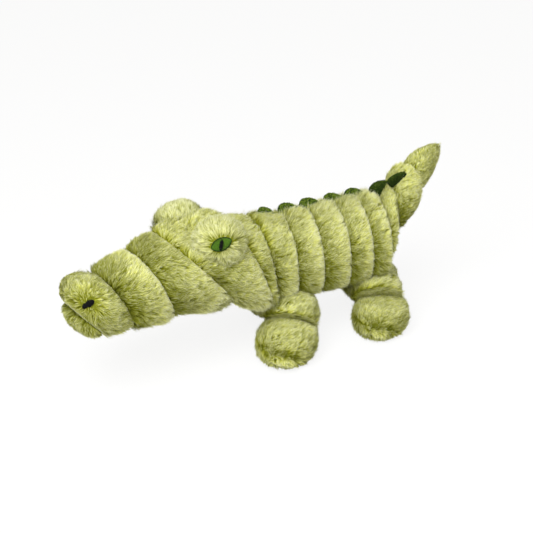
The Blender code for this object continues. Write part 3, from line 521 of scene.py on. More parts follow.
def grow_fur(name, skin, material, seed, comb, length=11.0 * MM, spacing=1.95 * MM, blades=10, tuft=1.7 * MM,
             width=0.62 * MM, lean=(50.0, 86.0), swirl=20.0, tone=None, shorter=None, planes=(), under=(),
             bare=None, stand=None, gather=0.25, overhang=0.0):
    """Tufts of blades on a skin, as one mesh whose map holds the tuft's tone and the way along the blade."""
    chance = np.random.default_rng(seed)
    place, normal, _ = slopes(skin, *pick_places(skin, spacing, chance))
    normal = normal * outward_sign(skin)
    keep = ~buried(place, under, 1.5 * MM)
    if bare is not None:
        keep &= ~bare(place)
    place, normal = place[keep], normal[keep]
    tufts = len(place)

    # the combed direction of each tuft, turned by a slow swirl and a little chance
    way = comb(place, normal)
    way = unit(way - normal * (way * normal).sum(axis=-1, keepdims=True))
    turn = np.radians(swirl * drift(place, 42.0 * MM, seed + 1) + chance.normal(0.0, TUFT_TURN, tufts))
    way = way * np.cos(turn)[:, None] + np.cross(normal, way) * np.sin(turn)[:, None]

    # blades round the middle of each tuft
    def spread(values):
        return np.repeat(values, blades, axis=0)

    n = tufts * blades
    normal, way, place = spread(normal), spread(way), spread(place)
    side = np.cross(normal, way)
    off = chance.normal(0.0, tuft, (n, 2)) * (0.95, 0.42)
    root = place + way * off[:, :1] + side * off[:, 1:] - normal * ROOT_DEPTH
    own = np.radians(chance.normal(0.0, BLADE_TURN, n))
    way = way * np.cos(own)[:, None] + side * np.sin(own)[:, None]
    size = length * spread(chance.uniform(0.78, 1.10, tufts)) * chance.uniform(0.80, 1.12, n)
    if shorter is not None:
        size = size * shorter(place)
    curl = np.radians(chance.normal(0.0, BLADE_CURL, n))
    tilt = np.radians(spread(chance.normal(0.0, TUFT_TILT, tufts)) + chance.normal(0.0, BLADE_TILT, n))
    if stand is not None:
        tilt = tilt - np.radians(STAND_TILT) * stand(place)

    # each blade walks from its root, its angle to the normal growing from lean[0] to lean[1]
    points, at = [root], root
    for begin, stop in zip(BLADE_STEPS[:-1], BLADE_STEPS[1:]):
        middle = (begin + stop) / 2.0
        angle = np.radians(lean[0] + (lean[1] - lean[0]) * middle) + tilt
        yaw = curl * middle
        ahead = way * np.cos(yaw)[:, None] + np.cross(normal, way) * np.sin(yaw)[:, None]
        step = normal * np.cos(angle)[:, None] + ahead * np.sin(angle)[:, None]
        at = at + step * (size * (stop - begin))[:, None]
        points.append(at)
    points = np.stack(points, axis=1).reshape(tufts, blades, 3, 3)
    pull = gather * np.array(BLADE_STEPS)[None, :, None]
    points = mixed(points, points.mean(axis=1, keepdims=True), pull).reshape(n, 3, 3)

    # the planes that no blade passes, but for the overhang that the second one allows
    for number, (spot, facing) in enumerate(planes):
        past = np.maximum((points - spot) @ facing + 0.3 * MM - overhang * (number == 1), 0.0)
        points = points - facing * past[..., None] + normal[:, None, :] * (0.30 * past)[..., None]
    points[..., 2] = np.maximum(points[..., 2], GROUND)

    # two edges to a blade, its flat side outward
    run = unit(points[:, 2] - points[:, 0])
    flat = unit(np.cross(run, normal))
    half = 0.5 * width * chance.uniform(0.75, 1.25, n)
    widths = np.array(BLADE_WIDTHS)[None, :, None] * half[:, None, None]
    left, right = points[:, :2] - flat[:, None] * widths, points[:, :2] + flat[:, None] * widths
    corners = np.concatenate([left, right, points[:, 2:]], axis=1)

    # the map: across is the tuft's tone, chance tone plus the painted shade and light of its place, up is the
    # way from root to tip
    light = spread(chance.normal(0.0, TUFT_TONE, tufts)) + chance.normal(0.0, BLADE_TONE, n)
    light = light + SLOW_TONE * drift(place, 18.0 * MM, seed + 2)
    light = np.clip((0.5 if tone is None else tone(place)) + light, 0.03, 0.97)
    along = np.array([0.03, 0.55, 0.03, 0.55, 0.97])
    across = np.array([-1.0, -1.0, 1.0, 1.0, 0.0]) * 0.012
    maps = np.stack(np.broadcast_arrays(light[:, None] + across, along[None]), axis=-1)

    base = np.arange(n)[:, None] * 5
    quads = base + np.array([0, 2, 3, 1])
    tips = base + np.array([1, 3, 4])
    return blade_mesh(name, corners.reshape(-1, 3), quads, tips, maps.reshape(-1, 2),
                      shading(points, normal, flat), material)


def shading(points, normal, flat):
    """How a blade catches light: mostly as the skin under it, partly as its own bent face."""
    run = unit(np.diff(points, axis=1))
    run = np.concatenate([run[:, :1], run], axis=1)
    own = unit(np.cross(flat[:, None, :], run))
    own = own * np.sign((own * normal[:, None, :]).sum(axis=-1, keepdims=True) + 1e-9)
    both = unit(0.75 * normal[:, None, :] + 0.40 * own)
    return np.concatenate([both[:, :2], both[:, :2], both[:, 2:]], axis=1).reshape(-1, 3)


def blade_mesh(name, corners, quads, tips, maps, normals, material):
    """Quads and tip triangles as one mesh with its map and its own shading normals."""
    loops = np.concatenate([quads.ravel(), tips.ravel()]).astype(np.int32)
    starts = np.concatenate([np.arange(len(quads)) * 4, len(quads) * 4 + np.arange(len(tips)) * 3])
    mesh = bpy.data.meshes.new(name)
    mesh.vertices.add(len(corners))
    mesh.vertices.foreach_set("co", corners.astype(np.float32).ravel())
    mesh.loops.add(len(loops))
    mesh.loops.foreach_set("vertex_index", loops)
    mesh.polygons.add(len(starts))
    mesh.polygons.foreach_set("loop_start", starts.astype(np.int32))
    mesh.update(calc_edges=True)
    layer = mesh.uv_layers.new(name="OFBake")
    layer.uv.foreach_set("vector", maps[loops].astype(np.float32).ravel())
    mesh.materials.append(material)
    mesh.shade_smooth()
    mesh.normals_split_custom_set_from_vertices(normals)
    made = bpy.data.objects.new(name, mesh)
    bpy.context.scene.collection.objects.link(made)
    return made


# %% [markdown]
# ## The way the pile is combed
# The pile runs to the tail on the body and fans up and down from the middle of each ring's side. Round
# the nostrils and the eyes it runs outward, and on the feet it runs away from the closing seam. Each
# rule is a function from points and normals to directions.

# %% Combing rules


def comb_to(direction, fan=0.0, middle=0.0, half=1.0):
    """Along one direction, plus a fan: up above a middle height and down below it."""

    def way(points, normals):
        lift = np.clip((points[:, 2] - middle) / half, -1.0, 1.0) * fan
        return unit(np.asarray(direction) + UP * lift[:, None])

    return way


def comb_from(spot, reach, beyond):
    """Away from a spot, and past its reach more and more along another rule."""

    def way(points, normals):
        mix = smooth(distance(points, spot), reach * 0.6, reach * 1.6)[:, None]
        return unit(mixed(unit(points - spot), beyond(points, normals), mix))

    return way


def short_near(spot, low, high, least):
    """Shorter pile round a spot: a share of the length inside low, full length past high."""
    return lambda points: least + (1.0 - least) * smooth(distance(points, spot), low, high)


def ring_tone_painted_shade(front, back, middle_tone, slope, top=0.0):
    """Painted shade and light on a ring's pile: darker at its front seam, painted shade of the groove there
    together with the darker roots that show there, and paler at its back; painted light on the toy's back and
    painted shade on its belly; and a painted crease shadow low beside the front seam. The share top takes
    that much of the slope out where the seam is shallow, on the back."""
    run = back.place - front.place
    middle = (front.place + back.place) / 2.0

    def tone(points):
        along = ((points - front.place) @ run) / (run @ run)
        height = (points[:, 2] - middle[2]) / front.half_height
        fade = 1.0 - top * smooth(height, 0.1, 0.8)
        # painted crease shadow low in the groove behind the front seam
        painted_crease_shade = (1.0 - smooth(along, 0.02, 0.34)) * (1.0 - smooth(height, -0.1, 0.9))
        # painted shade at the front groove, paler toward the rear seam
        rear = slope * fade * (smooth(along, -0.15, 0.95) - 0.55)
        # plus painted light on top and painted shade below, less the painted crease shadow
        return middle_tone + rear + 0.15 * np.clip(height, -1.0, 1.0) - 0.18 * painted_crease_shade

    return tone


def ring_stand(front, back, crest=0.0):
    """Pile stands up toward a ring's rear seam, 0 up to the middle and 1 at the seam, and along a crest."""
    run = back.place - front.place

    def stand(points):
        rear = smooth(((points - front.place) @ run) / (run @ run), 0.45, 1.0)
        return np.maximum(rear, crest * near_spine(points, front))

    return stand


SPINE_ROLL = math.radians(18.0)


def near_spine(points, front):
    """One beside the spine, fading to nothing 50 degrees down each side."""
    arm = points - front.place
    angle = np.degrees(np.abs(np.arctan2(arm[:, 1], arm[:, 2]) - SPINE_ROLL))
    return (1.0 - smooth(angle, 18.0, 50.0)) * smooth(angle, 1.0, 6.0)


# %% [markdown]
# ## One call for a puff
# A puff is its skin and its fur. The skin stands for the solid piece and rides with the same body, or stays
# in place, and the fur goes with it.

# %% Dress a puff
dressed = {}


def dress(node, skin, seed, comb, finish=PILE, bend=None, **fur):
    """The skin and the fur of one stuffed piece, in place of its solid. It rides with the solid's body; given
    bend, the pieces stay where they are with no body, and the two bodies and the start and end in bend do
    nothing."""
    hide = closed_skin(node + "_skin", skin, BACKING)
    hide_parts(node)
    pile = grow_fur(node + "_pile", skin, finish, seed, comb, **fur)
    for piece in (hide, pile):
        if bend is None:
            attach(piece, body_of_node[node])
        else:
            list(bend)
            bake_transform(piece)
    dressed[node] = len(pile.data.polygons) // 2


def belong(piece, node, instead=True):
    """A piece rides with the body of a solid, in its place or beside it."""
    if instead:
        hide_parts(node)
    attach(piece, body_of_node[node])


def level(tone):
    """The same tone everywhere."""
    return lambda points: np.full(len(points), tone)


def planes_of(front, back):
    """The two seam planes of a ring, each facing out of it."""
    ahead, behind = -seam_axes(front.turn, front.lean)[0], seam_axes(back.turn, back.lean)[0]
    return ((front.place, ahead), (back.place, behind))


def ring_look(front, back, middle_tone, slope, top=0.0, crest=0.0):
    """What the fur of a ring between two seams needs: its planes, its tone with painted shade and light, and
    where it stands up.
    """
    return dict(planes=planes_of(front, back), tone=ring_tone_painted_shade(front, back, middle_tone, slope, top),
                stand=ring_stand(front, back, crest))


# %% [markdown]
# ## The legs' round tops
# Each leg is a ball that turns in a socket in the belly, with a foot puff sewn on below. The seam between
# them is a slanted plane. The leg's top is flat against it, and the foot is a little domed there and flat
# where it stands.

# %% Places of the legs
HIP_Z, UPPER_RADIUS, TOP_LIFT = BODY_HEIGHT - 0.059, 0.0310, 4.2 * MM
ANKLE_SHARE = {"front": 0.40, "rear": 0.26}
FOOT_HALVES, SOLE_DEPTH, PLAIN = np.array([0.0350, 0.0340, 0.0250]), 0.5 * MM, np.eye(3)
LegPlan = namedtuple("LegPlan", "hip_x outer hip_y spread step size hip_sag foot_sag slant_x slant_y")
Leg = namedtuple("Leg", "hip foot radius halves seam down outer")
leg_plans = {
    "front_left": LegPlan(-0.0325, -1.0, 0.0360, 0.0170, 0.0175, 1.0, -4.5 * MM, 1.0 * MM, 0.0, 0.002),
    "front_right": LegPlan(-0.0325, 1.0, 0.0360, 0.0170, -0.0035, 1.0, 5.5 * MM, 3.0 * MM, 0.0, 0.002),
    "rear_left": LegPlan(0.074, -1.0, 0.0310, 0.0095, 0.0020, 0.93, -4.0 * MM, -1.0 * MM, -0.009, 0.014),
    "rear_right": LegPlan(0.074, 1.0, 0.0310, 0.0095, -0.0200, 0.93, -3.0 * MM, -2.0 * MM, -0.007, 0.012),
}
FRONT_LEGS, REAR_LEGS = list(leg_plans)[:2], list(leg_plans)[2:]
legs = {}
for name, plan in leg_plans.items():
    hip = SHIFT + np.array([plan.hip_x + plan.hip_sag, plan.outer * plan.hip_y, HIP_Z])
    foot = SHIFT + np.array([plan.hip_x - plan.step + plan.foot_sag, plan.outer * (plan.hip_y + plan.spread),
                             FOOT_HALVES[2] * plan.size - SOLE_DEPTH])
    ankle = hip + (foot - hip) * ANKLE_SHARE[name.split("_")[0]]
    down = unit(foot - hip + np.array([plan.slant_x, plan.outer * plan.slant_y, 0.0]))
    legs[name] = Leg(hip, foot, UPPER_RADIUS * plan.size, FOOT_HALVES * plan.size, ankle, down, plan.outer)
print("hips at", {name: np.round(leg.hip, 3).tolist() for name, leg in legs.items()})

# %% [markdown]
# ## The body rings
# Five rings of even width make the body. The front legs press into the first three, the hind legs into
# the last two. The pile runs to the tail and is combed a little up above the middle and down below it.

# %% Body rings
FIRST_ROOM, LAST_ROOM = 4.5 * MM, 3.5 * MM
leg_tops = {name: ball_skin(leg.hip + UP * TOP_LIFT, (leg.radius,) * 3, PLAIN, inset=2.0 * MM)
            for name, leg in legs.items()}
near_legs = [FRONT_LEGS] * 3 + [REAR_LEGS] * 2
rings = []
for number, (front, back) in enumerate(zip(body_seams, body_seams[1:])):
    skin = ring_skin(front, back, FIRST_ROOM if number == 0 else ROOM, LAST_ROOM if number == 4 else ROOM,
                     shallow_top=0.9 if number == 0 else 0.0)
    for name in near_legs[number]:
        skin = dented(skin, front.place, TAILWARD, legs[name].hip + UP * TOP_LIFT, legs[name].radius)
    rings.append(skin)


def longer_crest(front):
    """Longer pile beside the spine."""
    return lambda points: 1.0 + 0.28 * near_spine(points, front)


for number, (front, back) in enumerate(zip(body_seams, body_seams[1:])):
    top, crest = (0.9, 0.2) if number == 0 else (0.0, 0.9)
    dress("body_ring_%d" % (number + 1), rings[number], 100 + 10 * number,
          comb_to(TAILWARD, fan=0.55, middle=front.place[2] - 0.004, half=0.030), swirl=13.0,
          shorter=longer_crest(front), overhang=1.8 * MM if number < 4 else 0.0,
          under=[leg_tops[name] for name in near_legs[number]],
          **ring_look(front, back, 0.55, 0.76, top, crest))
print("blades on the rings:", dressed)

# %% [markdown]
# ## The head and snout
# The head is the widest puff. Its front seam leans far back over the brow, and its rear seam curls round
# the cheeks. Two more rings narrow to the snout tip, which rounds off at the front. Below the tip, the
# lip is a flattened half puff behind a slanted mouth seam.

# %% Head, snout and lip
MOUTH_LEAN, FLAT_SHARE = math.radians(34.0), 0.3
LIP_HALVES = np.array([0.0165, 0.0330, 0.0132]) - INSET
LIP_SHIFT = np.array([-4.5, 0.0, 1.5]) * MM
snout_way = heading(SNOUT_TURN)
snout_side = sideways(snout_way)
mouth_slope = snout_way * math.sin(MOUTH_LEAN) - UP * math.cos(MOUTH_LEAN)
mouth_facing = np.cross(mouth_slope, snout_side)
mouth_facing = mouth_facing if mouth_facing @ snout_way < 0.0 else -mouth_facing
mouth_place = snout_front.place - snout_way * 0.0315 - UP * 0.0120


def lip_skin(u, v):
    """The lip: a flat oval for the first share of v, then a dome of cosine and sine off the mouth plane."""
    arc = np.clip((v - FLAT_SHARE) / (1.0 - FLAT_SHARE), 0.0, 1.0) * np.pi / 2.0
    reach = np.where(v < FLAT_SHARE, v / FLAT_SHARE, np.cos(arc))
    rise = np.where(v < FLAT_SHARE, 0.0, np.sin(arc))
    ways = np.stack([np.cos(2.0 * np.pi * u) * reach, np.sin(2.0 * np.pi * u) * reach, rise], axis=-1)
    return mouth_place + (ways * LIP_HALVES + LIP_SHIFT) @ np.stack([mouth_slope, snout_side, mouth_facing])


snout_tip = flattened(end_skin(snout_front, snout_end, 2.7), mouth_place, mouth_facing)
head = ring_skin(brow, cheek, shallow_top=0.35)
neck_ring = ring_skin(cheek, neck, shallow_top=1.0)
snout_rear = ring_skin(snout_back, brow)
snout_mid = ring_skin(snout_front, snout_back)

# %% [markdown]
# ## Measured patches
# The eyes and nostrils lie in the solid model as thin patches. Their middle, their long and short way and
# the way they face come from their own points: the three main directions of the cloud of points.

# %% Patches from the solid model
Patch = namedtuple("Patch", "middle long short out length height")


def patch_of(node, away_from):
    """Middle and main directions of a CAD patch, facing away from a point."""
    mesh = nodes[node].data
    points = np.empty(len(mesh.vertices) * 3)
    mesh.vertices.foreach_get("co", points)
    points = points.reshape(-1, 3)
    middle = (points.min(axis=0) + points.max(axis=0)) / 2.0
    ways = np.linalg.svd(points - points.mean(axis=0), full_matrices=False)[2]
    long, out = ways[0], ways[2]
    out = out if (middle - away_from) @ out > 0.0 else -out
    long = long if long[0] > 0.0 else -long
    short = np.cross(out, long)
    spans = [np.ptp(points @ way) for way in (long, short)]
    return Patch(middle, long, short, out, *spans)


patches = {}
for side in ("left", "right"):
    bump = "eye_bump_" + side
    for name, node, base in (("eye_", "eye_iris_", bump), ("pupil_", "eye_pupil_", bump),
                             ("nostril_", "nostril_", "snout_tip")):
        patches[name + side] = patch_of(node + side, np.array(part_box(base)).mean(axis=0))


def laid_on(patch, skin, lift):
    """The patch moved along the way it faces to a lift above a skin, and turned to the skin's slope."""
    u, v = grid_of(0.05, 240, 360)
    spots = skin(u, v)
    arm = spots - patch.middle
    height = arm @ patch.out
    aside = np.linalg.norm(arm - height[:, None] * patch.out, axis=1) + (np.abs(height) > 0.02)
    best = aside.argmin()
    facing = slopes(skin, u[best:best + 1], v[best:best + 1])[1][0]
    out = facing if facing @ patch.out > 0.0 else -facing
    long = unit(patch.long - out * (patch.long @ out))
    return patch._replace(middle=spots[best] + out * lift, out=out, long=long, short=np.cross(out, long))


for name in ("nostril_left", "nostril_right"):
    patches[name] = laid_on(patches[name], snout_tip, 0.8 * MM)
print({name: [round(p.length * 1000, 1), round(p.height * 1000, 1)] for name, p in patches.items()})

# %% [markdown]
# ## The eye bumps and the crown
# Two balls pressed into the top of the head carry the eyes, and a smaller gathered puff lies between
# them. The near bump's pile runs outward from its eye.

# %% Bumps and crown
eye_roll = math.radians(4.5)
eye_along = heading(16.0)
eye_across = sideways(eye_along) * math.cos(eye_roll) - UP * math.sin(eye_roll)
eye_up = np.cross(eye_along, eye_across)
EYE_AXES = np.stack([eye_along, eye_across, eye_up])


def on_head(along, across, up, start=cheek.place):
    """A place measured from the cheek seam along, across and up the eyes' own directions."""
    return start + np.array([along, across, up]) @ EYE_AXES


bump_base = on_head(-0.0465, 0.0015, 0.0550)
bumps = {"left": ball_skin(on_head(0.0, -0.0380, -0.0025, bump_base), (0.0245, 0.0240, 0.0215), EYE_AXES),
         "right": ball_skin(on_head(-0.0062, 0.0380, -0.0034, bump_base), (0.0288, 0.0240, 0.0232), EYE_AXES)}
crown = ball_skin(on_head(-0.0450, 0.0, 0.0550), (0.0240, 0.0200, 0.0180), EYE_AXES)
BROW_SPOT, BROW_SWELL = on_head(-0.0700, 0.0200, 0.0570), 9.0 * MM


def brow_swollen(skin):
    """The head's skin pushed up before the crown and the far bump, where the stuffing gathers."""

    def swollen(u, v):
        points = skin(u, v)
        along, across, up = np.moveaxis((points - BROW_SPOT) @ EYE_AXES.T, -1, 0)
        near = np.exp(-(along / 0.017) ** 2 - (across / 0.026) ** 2) * smooth(up, -0.035, -0.008)
        return points + eye_up * (BROW_SWELL * near)[..., None]

    return swollen


head = brow_swollen(head)


def on_patch(patch, grow):
    """True for points over an oval patch grown by a margin, seen along the way it faces."""

    def over(points):
        arm = points - patch.middle
        a = (arm @ patch.long) / (patch.length / 2.0 + grow)
        b = (arm @ patch.short) / (patch.height / 2.0 + grow)
        return (a * a + b * b < 1.0) & (np.abs(arm @ patch.out) < 0.012)

    return over


nostrils = [patches["nostril_left"], patches["nostril_right"]]


def from_nostrils(points, rise=0.0):
    """The distance to the nearer nostril, or to a place above it."""
    return np.minimum(*(distance(points, nostril.middle, rise) for nostril in nostrils))


def tip_comb(points, normals):
    """The snout tip's pile runs outward from both nostrils, each weighing 1 / distance^3."""
    arms = [points - nostril.middle for nostril in nostrils]
    outward = sum(arm / np.linalg.norm(arm, axis=-1)[:, None] ** 4 for arm in arms)
    mix = smooth(from_nostrils(points), 0.014, 0.028)[:, None]
    return unit(mixed(unit(outward), snout_way, mix))


def tip_short(points):
    """Short pile beside and above the nostrils, full length away from them."""
    return 0.35 + 0.65 * smooth(from_nostrils(points, 3.0 * MM), 0.007, 0.016)


def tip_stand(points):
    """Pile stands up along the mouth seam."""
    return smooth((points - mouth_place) @ mouth_facing, -0.007, 0.0)


def tip_tone_painted_shade(points):
    """Paler higher up, painted light from above, and paler toward the mouth seam; darker in the hollow above
    the near nostril, painted shade.
    """
    near = 1.0 - smooth(distance(points, nostrils[0].middle, 5.0 * MM), 0.005, 0.013)
    height = np.clip(6.0 * (points[:, 2] - nostrils[0].middle[2] - 0.010), -0.1, 0.2)
    return 0.56 + height + 0.30 * tip_stand(points) - 0.36 * near


def tip_bare(points):
    """True over both nostrils."""
    return on_patch(nostrils[0], 0.8 * MM)(points) | on_patch(nostrils[1], 0.8 * MM)(points)


dress("head", head, 200, comb_to(snout_way, fan=0.35, middle=brow.place[2] - 0.01, half=0.04), swirl=32.0,
      overhang=1.2 * MM, under=[bumps["left"], bumps["right"], crown],
      **ring_look(brow, cheek, 0.56, 0.72, top=0.95))
dress("neck_ring", neck_ring, 210, comb_to(TAILWARD, fan=0.4, middle=neck.place[2], half=0.04),
      planes=planes_of(cheek, neck), tone=ring_tone_painted_shade(cheek, neck, 0.58, 0.40, top=0.9), overhang=2.5 * MM,
      bend=("head_and_neck", "torso", tuple(cheek.place), tuple(neck.place)))
for node, skin, front, back, seed, fan, swirl, middle_tone in (
        ("snout_ring_rear", snout_rear, snout_back, brow, 220, -0.25, 36.0, 0.53),
        ("snout_ring_front", snout_mid, snout_front, snout_back, 230, 0.3, 40.0, 0.51)):
    dress(node, skin, seed, comb_to(snout_way, fan=fan, middle=snout_back.place[2], half=0.03),
          swirl=swirl, overhang=1.5 * MM, **ring_look(front, back, middle_tone, 0.72))
dress("snout_tip", snout_tip, 240, tip_comb, shorter=tip_short, bare=tip_bare, swirl=18.0, tone=tip_tone_painted_shade,
      stand=tip_stand, planes=((snout_front.place, seam_axes(snout_front.turn, snout_front.lean)[0]),
                               (mouth_place, mouth_facing)))
# The lip's pile is darker right at the mouth seam: painted shade in the mouth's gap.
dress("lower_jaw", lip_skin, 250, comb_to(-UP - snout_way * 0.2), length=6.5 * MM, lean=(38.0, 78.0),
      swirl=50.0, planes=((mouth_place + mouth_facing * 1.2 * MM, -mouth_facing),),
      tone=lambda points: 0.40 * smooth((points - mouth_place) @ mouth_facing, 0.001, 0.007))
eye = patches["eye_left"]


def below_eye(points):
    """One in front of and below the near eye, nothing behind and above it."""
    return smooth((points - eye.middle) @ (-0.7 * snout_way - 0.7 * UP), -0.006, 0.014)


def far_from_eye(points):
    """One away from the near eye, nothing beside it."""
    return smooth(distance(points, eye.middle), 0.014, 0.026)


def bump_tone_painted_light(points):
    """The near bump's pile: paler higher up, painted light from above; paler near the eye, and a little paler
    in front of and below it.
    """
    return 0.70 - 0.12 * far_from_eye(points) + 4.0 * (points[:, 2] - bump_base[2]) + 0.06 * below_eye(points)


dress("eye_bump_left", bumps["left"], 264, comb_from(eye.middle, 0.034, comb_to(snout_way - UP * 0.25)),
      under=[head], bare=on_patch(eye, 1.3 * MM), shorter=short_near(eye.middle, 0.012, 0.020, 0.6),
      length=12.0 * MM, gather=0.4, finish=EYE_PILE, tone=bump_tone_painted_light,
      stand=lambda points: far_from_eye(points) * (0.4 + 0.5 * below_eye(points)))
# The far bump's pile is darker low down where it meets the head: a painted crease shadow.
dress("eye_bump_right", bumps["right"], 265, comb_to(snout_way * 0.5 + UP * 0.9 + eye_across * 0.4),
      under=[head], bare=on_patch(patches["eye_right"], 1.7 * MM), lean=(40.0, 78.0), swirl=34.0,
      length=9.5 * MM, finish=EYE_PILE,
      tone=lambda points: 0.74 - 0.50 * (1.0 - smooth((points - cheek.place) @ eye_up, 0.056, 0.069)))
dress("crown", crown, 280, comb_to(snout_way), under=[head, bumps["left"], bumps["right"]], tone=level(0.68))
print("puffs dressed:", len(dressed))

# %% [markdown]
# ## The tail
# Two narrow rings climb from the body, and a flat leaf-shaped puff points up and back.

# %% Tail
tail_first = ring_skin(tail_base, tail_one, LAST_ROOM, swell=1.2 * MM)
tail_second = ring_skin(tail_one, tail_two, swell=2.4 * MM)
tail_leaf = end_skin(tail_two, tail_end, 2.5)
tail_way = unit(tail_end.place - tail_one.place)
# The first tail ring's pile is paler higher up: painted light from above.
dress("tail_ring_1", tail_first, 300, comb_to(TAILWARD, 1.6, tail_base.place[2] + 0.012, 0.022),
      planes=planes_of(tail_base, tail_one)[:1], spacing=1.6 * MM, length=7.5 * MM, swirl=10.0,
      lean=(50.0, 88.0),
      tone=lambda points: 0.56 + 5.0 * (points[:, 2] - tail_base.place[2]),
      bend=("torso", "tail", tuple(tail_base.place), tuple(tail_one.place)))
dress("tail_ring_2", tail_second, 310, comb_to(TAILWARD + UP * 0.35), planes=planes_of(tail_one, tail_two),
      length=7.5 * MM, swirl=10.0, overhang=1.0 * MM, tone=ring_tone_painted_shade(tail_one, tail_two, 0.54, 0.42))
dress("tail_tip", tail_leaf, 320, comb_to(tail_way), length=6.5 * MM, swirl=14.0, tone=level(0.60),
      planes=(planes_of(tail_two, tail_end)[0],))

# %% [markdown]
# ## The legs
# The pile on the upper puffs runs up and to the tail. On the feet it runs away from a closing seam low
# on the outer front, where the fabric is folded into a soft lip.

# %% Legs and feet
Fold = namedtuple("Fold", "skin spot long across out")
FOLD_HALVES, FOLD_PLACE, FOLD_DEPTH = np.array([14.0, 5.0, 5.2]) * MM, (-0.40, 0.83, -0.34), 0.2 * MM
SEAM_LIFT, DOME_KEPT = 3.0 * MM, 0.62


def fold_of(leg, share):
    """The folded closing seam: a small flat roll on the outer front of a foot, slanting down to the tail."""
    out = unit(np.array([-0.34, leg.outer, -0.12]))
    long = np.array([0.90, 0.34 * leg.outer, -0.30])
    long = unit(long - out * (long @ out))
    across = np.cross(long, out) * np.sign(np.cross(long, out)[2])
    spot = leg.foot + leg.halves * FOLD_PLACE * (1.0, leg.outer, 1.0) - out * FOLD_DEPTH
    skin = ball_skin(spot, FOLD_HALVES * share, np.stack([long, out, across]), 2.3)
    return Fold(skin, spot, long, across, out)


def beside_fold(fold, points):
    """One in the crease just above the fold, fading to nothing over 5 mm and at the fold's ends. It shortens
    the pile there and places the painted crease shadow.
    """
    arm = (points - fold.spot) / MM
    above = np.exp(-((arm @ fold.across - 7.0) / 3.0) ** 2) * (arm @ fold.out > -8.0)
    return above * (1.0 - smooth(np.abs(arm @ fold.long), 11.0, 17.0))


def foot_comb(leg, fold):
    """A foot's pile runs up and to the tail from its lower front, and down to the ground below the fold."""
    upward, downward = unit(TAILWARD + UP * 0.55), unit(TAILWARD * 0.3 - UP)

    def way(points, normals):
        mix = smooth((points - fold.spot) @ fold.across, -0.004, 0.006)[:, None]
        arm = unit(points - leg.foot) * (1.0, 0.3, 0.6)
        return unit(arm * 0.45 + mixed(downward, upward, mix))

    return way


def foot_tone_painted_shade(fold):
    """Painted light and shade: paler on top, darker below, and a painted crease shadow above the fold."""
    return lambda points: 0.52 + 10.0 * (points[:, 2] - 0.025) - 0.55 * beside_fold(fold, points)


def foot_short(fold):
    """Short pile in the crease above the fold."""
    return lambda points: 1.0 - 0.6 * beside_fold(fold, points)


for number, (name, leg) in enumerate(legs.items()):
    in_front = name in FRONT_LEGS
    fold, joint = fold_of(leg, 1.0 if in_front else 0.7), leg.seam - leg.down * SEAM_LIFT
    near = rings[:3] if in_front else rings[3:]
    upper = flattened(leg_tops[name], joint - leg.down * 0.4 * MM, leg.down)
    sole = ball_skin(leg.foot, leg.halves, PLAIN, 2.3, 3.2, inset=2.5 * MM)
    domed = flattened(sole, joint + leg.down * 0.4 * MM, -leg.down, kept=DOME_KEPT)
    foot = flattened(domed, np.array([0.0, 0.0, 0.6 * MM]), -UP)
    # The upper leg's pile is darker lower down and paler higher up: painted shade below and painted light
    # above.
    dress("leg_upper_" + name, upper, 400 + 10 * number, comb_to(TAILWARD + UP * 0.5), lean=(44.0, 82.0),
          length=10.0 * MM, planes=((joint, leg.down),), under=near + [foot],
          tone=lambda points: 0.62 + 3.0 * (points[:, 2] - 0.045))
    dress("foot_" + name, foot, 500 + 10 * number, foot_comb(leg, fold), swirl=18.0, lean=(46.0, 84.0),
          length=9.5 * MM, planes=((joint - leg.down * 10.0 * MM, -leg.down),), tone=foot_tone_painted_shade(fold),
          shorter=foot_short(fold), under=[fold.skin, upper], bare=lambda points: points[:, 2] < 1.2 * MM)
    lip = grow_fur("foot_%s_fold" % name, fold.skin, PILE, 700 + number,
                   comb_to(fold.long * 0.4 - fold.across), length=5.0 * MM, spacing=1.5 * MM,
                   lean=(45.0, 78.0), swirl=10.0, under=[foot], tone=level(0.80))
    belong(lip, "foot_" + name, instead=False)
print("puffs:", len(dressed), "blades of pile:", sum(dressed.values()))

# %% [markdown]
# ## The spikes
# Each spike is two layers of short dark green pile sewn together round the edge, so it is a thin pillow
# with a leaf's outline, thickest in the middle. It stands in the centre-back seam, turned a little to the
# far side as in the photograph, and the last one to the near side.

# %% Spikes
SPIKE_LENGTH, SPIKE_HEIGHT, SPIKE_THICKNESS, SPIKE_ROOT = 0.0255, 0.0140, 0.0040, 0.0030
LEAF_SHARE, LEAF_MIDDLE = 0.72, 0.004
Spike = namedtuple("Spike", "share size roll lift tone")
spikes = [Spike(*row) for row in (
    (0.56, 0.84, 18.0, 0.6, 0.80), (0.43, 1.02, 18.0, 1.2, 0.80), (0.26, 1.04, 18.0, 1.2, 0.80),
    (0.18, 0.98, 18.0, 1.2, 0.80), (0.15, 1.00, 18.0, 1.2, 0.80), (0.55, 1.02, 12.0, 0.3, 0.10),
    (0.30, 0.92, -16.0, 4.6, 0.10))]


def spike_skin(seat, along, up, side, size):
    """A pillow leaf: its outline is a half wave to the power 0.95 leaning forward, and its two faces lie
    half a cosine apart and close in to the rim with a sine to the power 0.7."""

    def skin(u, v):
        leaf = u < LEAF_SHARE
        angle = np.pi * np.where(leaf, u / LEAF_SHARE, 1.0)
        back = np.clip((u - LEAF_SHARE) / (1.0 - LEAF_SHARE), 0.0, 1.0)
        x = np.where(leaf, -np.cos(angle) / 2.0 - 0.17 * np.sin(angle) ** 2, 0.5 - back)
        z = np.where(leaf, np.maximum(np.sin(angle), 0.0) ** 0.95 * SPIKE_HEIGHT,
                     -SPIKE_ROOT * np.sin(np.pi * back) ** 0.6)
        r = np.abs(np.sin(np.pi * v)) ** 0.7
        ways = np.stack([x * r * SPIKE_LENGTH, (z - LEAF_MIDDLE) * r + LEAF_MIDDLE,
                         np.cos(np.pi * v) * SPIKE_THICKNESS / 2.0], axis=-1)
        return seat + (ways * size) @ np.stack([along, up, side])

    return skin


